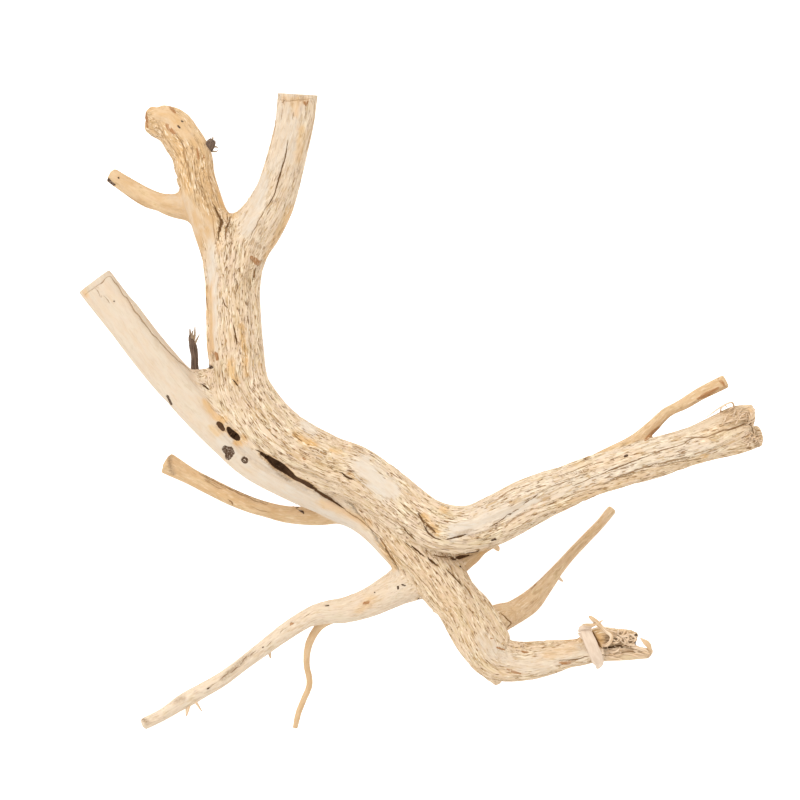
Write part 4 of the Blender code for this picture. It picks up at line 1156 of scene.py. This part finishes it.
    # painted shade inside the hollows
    colour = sheet.mixColour(recessShade, colour, woodColours["recessShade"])
    sheet.join(colour, surface.inputs["Base Color"])
    rough = sheet.mapRange(mask["pale"], 0.0, 1.0, 0.84, 0.70)
    rough = sheet.math("ADD", rough, times(dashShare, 0.12), clamp=True)
    sheet.join(rough, surface.inputs["Roughness"])
    height = sheet.math("ADD", times(fibres, 0.30), times(fine, 0.10))
    for cut, depth in ((dashShare, 0.80), (lineShare, 0.70), (streaks, 0.35), (crack, 0.8), (furrowShadeShare, 0.4)):
        height = sheet.math("SUBTRACT", height, times(cut, depth))
    bump = sheet.add("ShaderNodeBump")
    bump.inputs["Strength"].default_value = woodGrain["bumpStrength"]
    bump.inputs["Distance"].default_value = woodGrain["bumpDistance"]
    sheet.join(height, bump.inputs["Height"])
    sheet.join(bump.outputs[0], surface.inputs["Normal"])
    surface.inputs["Specular IOR Level"].default_value = 0.08
    return material


# The sawn ends: growth rings round the limb's middle, fine speckle and a darker rim
def makeSawnMaterial(grainGroup):
    material = bpy.data.materials.new("sawnEnd")
    material.use_nodes = True
    sheet = NodeSheet(material.node_tree)
    surface = material.node_tree.nodes["Principled BSDF"]
    place = sheet.attribute("grainB").outputs["Vector"]
    flat = sheet.add("ShaderNodeVectorMath", operation="MULTIPLY")
    sheet.join(place, flat.inputs[0])
    flat.inputs[1].default_value = (1.0, 1.0, 0.0)
    size = sheet.add("ShaderNodeVectorMath", operation="LENGTH")
    sheet.join(flat.outputs[0], size.inputs[0])
    wander = sheet.stretchedNoise(flat.outputs[0], 0.006, 0.006, 2.0)
    far = sheet.math("ADD", size.outputs["Value"], sheet.math("MULTIPLY", wander, 0.0022))
    rings = sheet.math("SINE", sheet.math("MULTIPLY", far, 2 * math.pi / sawnEnd["ringWidth"]))
    rings = sheet.mapRange(rings, -0.4, 1.0)
    speckle = sheet.stretchedNoise(flat.outputs[0], 0.0007, 0.0007, 2.0, 0.6)
    colour = sheet.mixColour(sheet.math("MULTIPLY", rings, 0.55), sawnEnd["colour"], sawnEnd["ring"])
    colour = sheet.mixColour(sheet.mapRange(speckle, 0.5, 0.75, 0.0, 0.4), colour, sawnEnd["ring"])
    rim = sheet.mapRange(size.outputs["Value"], sawnEnd["rimFrom"], sawnEnd["rimFrom"] + 0.0016, 0.0, 0.6)
    colour = sheet.mixColour(rim, colour, sawnEnd["rim"])
    sheet.join(colour, surface.inputs["Base Color"])
    surface.inputs["Roughness"].default_value = 0.85
    surface.inputs["Specular IOR Level"].default_value = 0.08
    bump = sheet.add("ShaderNodeBump")
    bump.inputs["Strength"].default_value = 0.5
    bump.inputs["Distance"].default_value = 0.0003
    sheet.join(sheet.math("ADD", rings, speckle), bump.inputs["Height"])
    sheet.join(bump.outputs[0], surface.inputs["Normal"])
    return material


# Torn fibres: the wood's own colours in streaks along each, with warm blotches
def makeFibreMaterial(name, dark, light, warm):
    material = bpy.data.materials.new(name)
    material.use_nodes = True
    sheet = NodeSheet(material.node_tree)
    surface = material.node_tree.nodes["Principled BSDF"]
    place = sheet.attribute("grainA").outputs["Vector"]
    streaks = sheet.stretchedNoise(place, 0.0007, 0.009, 3.0, 0.6)
    blotch = sheet.stretchedNoise(place, 0.004, 0.012, 2.0, 0.5, 4.0)
    colour = sheet.mixColour(sheet.mapRange(streaks, 0.35, 0.65), light, dark)
    colour = sheet.mixColour(sheet.mapRange(blotch, 0.48, 0.68, 0.0, 0.7), colour, warm)
    sheet.join(colour, surface.inputs["Base Color"])
    sheet.join(sheet.mapRange(streaks, 0.2, 0.8, 0.9, 0.72), surface.inputs["Roughness"])
    surface.inputs["Specular IOR Level"].default_value = 0.08
    bump = sheet.add("ShaderNodeBump")
    bump.inputs["Strength"].default_value = 0.6
    bump.inputs["Distance"].default_value = 0.0003
    sheet.join(streaks, bump.inputs["Height"])
    sheet.join(bump.outputs[0], surface.inputs["Normal"])
    return material


def makeDriftwood(woodMaterial, sawnMaterial):
    shape = bmesh.new()
    for limb in limbs:
        growTube(shape, limb, wood["skin"])
    body = finishedObject("driftwood_surface", shape)
    remesh(body, wood["voxel"])
    shape = bmesh.new()
    for hollow in hollows:
        growTube(shape, hollow, 0.0, wood["hollowStretch"])
    cutAway(body, [finishedObject("hollows", shape)], "EXACT")
    remesh(body, wood["voxel"])
    print("limbs joined,", len(body.data.vertices), "vertices")
    fitToSurface(body)
    finer = body.modifiers.new("finer", "SUBSURF")
    finer.levels = finer.render_levels = 1
    applyModifiers(body)
    places = vertexPlaces(body)
    around = np.concatenate([route["centre"] for route in hollows])
    low, high = around.min(axis=0) - wood["hollowNear"], around.max(axis=0) + wood["hollowNear"]
    fitToSurface(body, np.nonzero(np.all((places > low) & (places < high), axis=1))[0])
    places, normals = vertexPlaces(body), vertexNormals(body)
    height = weather(places, normals)[0]
    movePlaces(body, places + normals * height[:, None])
    body.data.calc_loop_triangles()
    fewer = body.modifiers.new("fewer", "DECIMATE")
    fewer.ratio = wood["triangles"] / len(body.data.loop_triangles)
    fewer.use_collapse_triangulate = True
    applyModifiers(body)
    body.data.materials.clear()
    body.data.materials.append(woodMaterial)
    block = (sawCuts["block"],) * 3
    cutAway(body, [
        cutBlock("rightArmCut", *sawCuts["rightArm"], block, sawnMaterial),
        cutBlock("leftLimbCut", *sawCuts["leftLimb"], block, sawnMaterial),
        cutBlock("floorCut", (0.0, 0.0, 0.0), (0.0, 0.0, -1.0), sawCuts["floorBlock"], woodMaterial),
    ], "MANIFOLD")
    places, normals = vertexPlaces(body), vertexNormals(body)
    _, masks, setGrain = weather(places, normals)
    for name, values in masks.items():
        writeMask(body.data, name, values)
    writeGrain(body.data, "grainA", setGrain[0])
    writeGrain(body.data, "grainB", setGrain[1])
    body.data.shade_smooth()
    body.data.set_sharp_from_angle(angle=math.radians(wood["sharpAngle"]))
    body.data.calc_loop_triangles()
    print("driftwood surface,", len(body.data.loop_triangles), "triangles")
    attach(body, "root")
    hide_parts("driftwood")
    return body


# A flat torn strip that follows its stations, with a ragged width and a slight twist
def growStrip(shape, grains, stations, thickness, sides, seed, twist=0.0, ragged=0.25, spacing=0.0010,
              flutter=0.25, squareness=1.0):
    route = routeFrame("strip", stations, 0, spacing)
    count = len(route["centre"])
    frames = []
    wander = noise(np.stack([route["length"] / 0.0025, np.full(count, 0.3), np.full(count, 0.7)], axis=1), seed)
    for i in range(count):
        turn = twist * route["length"][i] + flutter * float(wander[i])
        turn = Matrix.Rotation(turn, 3, Vector(route["along"][i]))
        side = turn @ Vector(route["side"][i])
        over = turn @ Vector(route["over"][i])
        wide = max(0.0002, float(route["radius"][i]) * (1 + ragged * float(wander[i])))
        high = max(0.0002, min(thickness / 2, wide))
        frames.append(frameMatrix(route["centre"][i], side, over, route["along"][i], wide, high))
    start = len(shape.verts)
    sweep(shape, frames, sides, squareness)
    for number in range(len(shape.verts) - start):
        ring = min(number // sides, count - 1)
        angle = 2 * math.pi * (number % sides) / sides
        wide = float(route["radius"][ring])
        grains.append((wide * math.cos(angle), thickness * math.sin(angle), float(route["length"][ring]) + 0.07 * seed))


def stripPiece(name, strips, material):
    shape = bmesh.new()
    grains = []
    for settings in strips:
        growStrip(shape, grains, **settings)
    bmesh.ops.recalc_face_normals(shape, faces=shape.faces)
    piece = finishedObject(name, shape)
    writeGrain(piece.data, "grainA", grains)
    piece.data.materials.append(material)
    piece.data.shade_smooth()
    piece.data.set_sharp_from_angle(angle=math.radians(70))
    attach(piece, "root")
    return piece


# Slivers and spurs that stand off the wood, as x, y, z and the half width there. Each starts in
# the wood, apart from the crossing one and two fibres, which grow from the curled sliver
slivers = {
    "thickness": 0.0011,
    "sides": 8,
    "rootDepth": 0.0010,
    "onSliver": ("curled sliver edge", "crossing sliver", "propping fibre", "long fibre"),
    "curled sliver": [
        (0.1190, -0.1480, 0.0640, 0.0009), (0.1219, -0.1473, 0.0665, 0.0011), (0.1242, -0.1445, 0.0680, 0.0012),
        (0.1248, -0.1417, 0.0690, 0.0012), (0.1236, -0.1395, 0.0700, 0.0012), (0.1205, -0.1370, 0.0715, 0.0012),
        (0.1172, -0.1337, 0.0730, 0.0012), (0.1144, -0.1309, 0.0745, 0.0013), (0.1113, -0.1288, 0.0755, 0.0012),
        (0.1094, -0.1275, 0.0760, 0.0007),
    ],
    "curled sliver edge": [
        (0.1225, -0.1400, 0.0680, 0.0007), (0.1190, -0.1370, 0.0700, 0.0008), (0.1155, -0.1338, 0.0715, 0.0009),
        (0.1125, -0.1305, 0.0735, 0.0011), (0.1100, -0.1283, 0.0745, 0.0006),
    ],
    "crossing sliver": [
        (0.1055, -0.1330, 0.0728, 0.0004), (0.1080, -0.1333, 0.0733, 0.0009), (0.1113, -0.1333, 0.0736, 0.0011),
        (0.1150, -0.1325, 0.0740, 0.0009), (0.1185, -0.1300, 0.0753, 0.0003),
    ],
    "propping fibre": [
        (0.1160, -0.1324, 0.0737, 0.0005), (0.1120, -0.1350, 0.0690, 0.0006), (0.1095, -0.1380, 0.0640, 0.0005),
    ],
    "long fibre": [
        (0.1206, -0.1371, 0.0713, 0.0004), (0.1222, -0.1368, 0.0700, 0.0004), (0.1253, -0.1380, 0.0690, 0.0004),
        (0.1290, -0.1382, 0.0680, 0.0004), (0.1302, -0.1370, 0.0690, 0.0002),
    ],
    "upright fibre": [
        (0.1290, -0.1410, 0.0660, 0.0008), (0.1288, -0.1385, 0.0690, 0.0007), (0.1292, -0.1366, 0.0705, 0.0003),
    ],
    "end sliver": [
        (0.1440, -0.1430, 0.0640, 0.0004), (0.1462, -0.1448, 0.0640, 0.0014), (0.1485, -0.1468, 0.0630, 0.0017),
        (0.1503, -0.1495, 0.0615, 0.0015), (0.1508, -0.1530, 0.0595, 0.0008),
    ],
    "lower end sliver": [
        (0.1385, -0.1480, 0.0620, 0.0014), (0.1430, -0.1497, 0.0625, 0.0015), (0.1475, -0.1512, 0.0615, 0.0013),
        (0.1500, -0.1530, 0.0600, 0.0006),
    ],
    "lobe hair": [
        (0.1985, 0.0068, 0.1020, 0.0006), (0.1965, 0.0100, 0.1035, 0.0006), (0.1915, 0.0083, 0.1045, 0.0005),
        (0.1865, 0.0050, 0.1030, 0.0005), (0.1812, 0.0008, 0.1010, 0.0003),
    ],
    "lobe curl": [
        (0.1900, 0.0040, 0.1040, 0.0006), (0.1895, 0.0068, 0.1060, 0.0006), (0.1915, 0.0082, 0.1070, 0.0005),
        (0.1930, 0.0070, 0.1060, 0.0003),
    ],
    "lobe flap": [
        (0.2040, 0.0070, 0.1050, 0.0008), (0.2080, 0.0045, 0.1055, 0.0012), (0.2092, 0.0000, 0.1055, 0.0012),
        (0.2095, -0.0050, 0.1020, 0.0006),
    ],
    "lobe fold": [
        (0.1900, -0.0035, 0.1050, 0.0005), (0.1950, -0.0015, 0.1062, 0.0009), (0.2000, 0.0005, 0.1068, 0.0009),
        (0.2045, 0.0020, 0.1062, 0.0004),
    ],
    "sawn edge splinter": [
        (-0.2120, 0.0800, 0.0785, 0.0012), (-0.2148, 0.0803, 0.0785, 0.0014), (-0.2168, 0.0806, 0.0780, 0.0008),
    ],
    "limb spur": [
        (0.0450, -0.0780, 0.0850, 0.0030), (0.0478, -0.0808, 0.0830, 0.0026), (0.0503, -0.0836, 0.0805, 0.0018),
        (0.0512, -0.0852, 0.0790, 0.0006),
    ],
    "leg spur": [
        (-0.103, -0.149, 0.025, 0.0022), (-0.100, -0.157, 0.022, 0.0014), (-0.099, -0.162, 0.021, 0.0005),
    ],
    "low spur": [
        (-0.155, -0.188, 0.011, 0.0022), (-0.156, -0.197, 0.009, 0.0015), (-0.157, -0.203, 0.008, 0.0005),
    ],
    "low hair": [
        (-0.154, -0.187, 0.011, 0.0012), (-0.150, -0.193, 0.012, 0.0009), (-0.146, -0.199, 0.013, 0.0004),
    ],
    "root spur": [
        (0.088, -0.107, 0.016, 0.0020), (0.094, -0.108, 0.015, 0.0014), (0.098, -0.111, 0.014, 0.0005),
    ],
}

# The wide strap of bark that lies across the stub, and the fold at its top
strap = {
    "sink": 0.0004,
    "thickness": 0.0016,
    "sides": 16,
    "squareness": 0.55,
    "route": [
        (0.1072, -0.1358, 0.0665, 0.0032), (0.1083, -0.1385, 0.0680, 0.0037), (0.1100, -0.1425, 0.0683, 0.0039),
        (0.1122, -0.1475, 0.0682, 0.0040), (0.1146, -0.1530, 0.0668, 0.0042), (0.1164, -0.1572, 0.0645, 0.0040),
        (0.1174, -0.1600, 0.0620, 0.0031), (0.1172, -0.1622, 0.0598, 0.0017), (0.1166, -0.1636, 0.0585, 0.0006),
    ],
    "fold": [
        (0.1042, -0.1385, 0.0665, 0.0008), (0.1052, -0.1362, 0.0690, 0.0014), (0.1075, -0.1350, 0.0705, 0.0017),
        (0.1102, -0.1355, 0.0700, 0.0014), (0.1115, -0.1372, 0.0680, 0.0006),
    ],
    "under": [
        (0.1040, -0.1400, 0.0640, 0.0006), (0.1062, -0.1420, 0.0665, 0.0014), (0.1085, -0.1445, 0.0670, 0.0010),
    ],
}

# Torn fibres that lie matted over the broken ends, in the rectangle with these corners
tornEnds = {
    "seed": 5,
    "bend": 0.9,
    "lift": 0.0009,
    "mats": [
        {"low": (0.1225, -0.1495), "high": (0.1415, -0.1385), "count": 62, "length": (0.0035, 0.0085),
         "turn": (-1.3, 1.3), "halfWidth": (0.00035, 0.00070)},
        {"low": (0.1210, -0.1560), "high": (0.1460, -0.1500), "count": 14, "length": (0.0060, 0.0120),
         "turn": (-0.18, 0.06), "halfWidth": (0.00040, 0.00070)},
        {"low": (0.1900, -0.0050), "high": (0.2110, 0.0085), "count": 52, "length": (0.0035, 0.0080),
         "turn": (-0.3, 1.5), "halfWidth": (0.00030, 0.00060)},
        {"low": (0.2050, -0.0190), "high": (0.2175, -0.0060), "count": 40, "length": (0.0020, 0.0050),
         "turn": (-0.9, 1.0), "halfWidth": (0.00025, 0.00050)},
        {"low": (-0.0880, 0.2000), "high": (-0.0680, 0.2050), "count": 34, "length": (0.0012, 0.0030),
         "turn": (1.1, 2.0), "halfWidth": (0.00018, 0.00032)},
    ],
}


# The height of the wood's upper side below a strip's point, or None beside the wood
def woodBelow(body, across, up):
    hit, spot, *_ = body.ray_cast((across, up, 0.2), (0.0, 0.0, -1.0))
    return spot.z if hit else None


def makeSlivers(body, material):
    strips = []
    for number, (name, stations) in enumerate(slivers.items()):
        if not isinstance(stations, list):
            continue
        across, up, high, half = stations[0]
        top = woodBelow(body, across, up)
        if top is not None and top < high and name not in slivers["onSliver"]:
            stations = [(across, up, top - slivers["rootDepth"], half)] + stations[1:]
        strips.append({"stations": stations, "thickness": slivers["thickness"], "sides": slivers["sides"],
                       "seed": 38 + number, "twist": 8.0 if "sliver" in name else 0.0})
    return stripPiece("torn_slivers", strips, material)


# The strap is let down until it touches the wood
def makeStrap(body, material):
    gaps = [(high - strap["thickness"] / 2, woodBelow(body, across, up)) for across, up, high, _ in strap["route"]]
    gaps = [low - top for low, top in gaps if top is not None]
    drop = max(0.0, min(gaps)) + strap["sink"]
    print("strap let down by", round(drop, 4))
    strips = [
        {"stations": [(across, up, high - drop, half) for across, up, high, half in strap[name]],
         "thickness": strap["thickness"], "sides": strap["sides"], "seed": 30 + number,
         "ragged": 0.05 if name == "route" else 0.2, "flutter": 0.05, "squareness": strap["squareness"]}
        for number, name in enumerate(("route", "fold", "under"))
    ]
    return stripPiece("bark_strap", strips, material)


# Each fibre's points are dropped onto the wood below, so that none hangs in the air
def makeFibres(body, material):
    draw = np.random.default_rng(tornEnds["seed"])
    strips = []
    for mat in tornEnds["mats"]:
        for number in range(mat["count"]):
            across, up = (draw.uniform(mat["low"][k], mat["high"][k]) for k in range(2))
            turn = draw.uniform(*mat["turn"])
            length = draw.uniform(*mat["length"])
            bend = draw.normal(0.0, tornEnds["bend"])
            half = draw.uniform(*mat["halfWidth"])
            lift = draw.uniform(0.2, 2.4, 4) * tornEnds["lift"]
            stations = []
            for k in range(4):
                hit, spot, *_ = body.ray_cast((across, up, 0.2), (0.0, 0.0, -1.0))
                if not hit:
                    break
                stations.append((across, up, spot.z + lift[k], half * (0.45 if k in (0, 3) else 1.0)))
                across += math.cos(turn) * length / 3
                up += math.sin(turn) * length / 3
                turn += bend / 3
            if len(stations) < 3 or max(s[2] for s in stations) - min(s[2] for s in stations) > 0.6 * length:
                continue
            strips.append({"stations": stations, "thickness": 0.0009, "sides": 5, "seed": 100 + len(strips),
                           "spacing": 0.0008})
    return stripPiece("torn_fibres", strips, material)


# The dark twig still has its bark, and its snapped top has pale splinters
darkTwig = {
    "route": [
        (-0.140, 0.008, 0.062, 0.0032), (-0.146, 0.029, 0.053, 0.0027), (-0.147, 0.041, 0.049, 0.0026),
        (-0.149, 0.051, 0.048, 0.0022), (-0.1493, 0.0545, 0.0485, 0.0012),
    ],
    "splinters": [
        [(-0.1495, 0.048, 0.048, 0.0010), (-0.1498, 0.055, 0.049, 0.0008), (-0.1500, 0.0585, 0.050, 0.0003)],
        [(-0.1480, 0.048, 0.048, 0.0010), (-0.1468, 0.054, 0.050, 0.0008), (-0.1465, 0.0595, 0.051, 0.0003)],
        [(-0.1475, 0.047, 0.0485, 0.0009), (-0.1450, 0.052, 0.050, 0.0006), (-0.1435, 0.0545, 0.051, 0.0003)],
        [(-0.1490, 0.049, 0.049, 0.0007), (-0.1483, 0.0555, 0.0505, 0.0006), (-0.1475, 0.0575, 0.051, 0.0002)],
    ],
    "armStub": [
        (-0.144, 0.171, 0.042, 0.0038), (-0.1388, 0.1775, 0.043, 0.0036), (-0.1365, 0.1812, 0.044, 0.0032),
        (-0.1352, 0.1832, 0.0443, 0.0018),
    ],
    "armSplinters": [
        [(-0.138, 0.177, 0.043, 0.0009), (-0.1345, 0.1785, 0.044, 0.0007), (-0.1318, 0.1780, 0.045, 0.0003)],
        [(-0.138, 0.178, 0.043, 0.0008), (-0.1355, 0.1835, 0.045, 0.0006), (-0.1352, 0.1850, 0.046, 0.0002)],
        [(-0.137, 0.176, 0.042, 0.0008), (-0.1335, 0.1755, 0.043, 0.0005), (-0.1322, 0.1762, 0.044, 0.0002)],
    ],
}


def makeDarkTwig(barkMaterial, splinterMaterial):
    strips = [
        {"stations": darkTwig["route"], "thickness": 0.0056, "sides": 18, "seed": 71, "ragged": 0.14},
        {"stations": darkTwig["armStub"], "thickness": 0.0070, "sides": 18, "seed": 72, "ragged": 0.3},
    ]
    stripPiece("dark_twig", strips, barkMaterial)
    strips = [
        {"stations": stations, "thickness": 0.0008, "sides": 6, "seed": 80 + number}
        for number, stations in enumerate(darkTwig["splinters"] + darkTwig["armSplinters"])
    ]
    stripPiece("twig_splinters", strips, splinterMaterial)


studio = {"floorSize": 3.0, "floorColour": (0.94, 0.94, 0.94), "floorGlow": 0.35, "worldColour": (1.0, 1.0, 1.0),
          "worldStrength": 1.20, "sunStrength": 1.5, "sunAngle": 35.0, "sunTurn": (-28.0, -22.0, 0.0)}


def makeStudio():
    shape = bmesh.new()
    bmesh.ops.create_grid(shape, x_segments=1, y_segments=1, size=studio["floorSize"])
    floor = finishedObject("floor", shape)
    material = bpy.data.materials.new("floor")
    material.use_nodes = True
    surface = material.node_tree.nodes["Principled BSDF"]
    surface.inputs["Base Color"].default_value = (*studio["floorColour"], 1.0)
    surface.inputs["Roughness"].default_value = 0.9
    surface.inputs["Emission Color"].default_value = (*studio["worldColour"], 1.0)
    surface.inputs["Emission Strength"].default_value = studio["floorGlow"]
    floor.data.materials.append(material)
    world = bpy.data.worlds.new("studio")
    world.use_nodes = True
    background = world.node_tree.nodes["Background"]
    background.inputs["Color"].default_value = (*studio["worldColour"], 1.0)
    background.inputs["Strength"].default_value = studio["worldStrength"]
    bpy.context.scene.world = world
    data = bpy.data.lights.new("softSun", "SUN")
    data.energy = studio["sunStrength"]
    data.angle = math.radians(studio["sunAngle"])
    sun = bpy.data.objects.new("softSun", data)
    sun.rotation_euler = [math.radians(turn) for turn in studio["sunTurn"]]
    bpy.context.scene.collection.objects.link(sun)
    bpy.context.scene.view_settings.view_transform = "Standard"


placeCamera()
makeStudio()
print("camera, floor and light placed")

limbs = [routeFrame(name, stations, i, wood["routeStep"]) for i, (name, stations) in enumerate(limbRoutes.items())]
hollows = [routeFrame(name, stations, i, wood["routeStep"]) for i, (name, stations) in enumerate(hollowRoutes.items())]

grainGroup = makeGrainGroup()
woodMaterial = makeWoodMaterial(grainGroup)
sawnMaterial = makeSawnMaterial(grainGroup)
fibreMaterial = makeFibreMaterial("tornFibre", (0.46, 0.31, 0.18), (0.74, 0.58, 0.42), (0.56, 0.37, 0.20))
strapMaterial = makeFibreMaterial("barkStrap", (0.56, 0.43, 0.32), (0.64, 0.515, 0.40), (0.60, 0.45, 0.33))
barkMaterial = makeFibreMaterial("bark", barkFinish["colour"], barkFinish["light"], barkFinish["colour"])
splinterMaterial = makeFibreMaterial("twigSplinter", barkFinish["splinter"], (0.42, 0.32, 0.22), (0.20, 0.13, 0.08))
print("finishes made")

surface = makeDriftwood(woodMaterial, sawnMaterial)
makeSlivers(surface, fibreMaterial)
makeStrap(surface, strapMaterial)
makeFibres(surface, fibreMaterial)
makeDarkTwig(barkMaterial, splinterMaterial)
print("splinters, fibres and dark twig made")
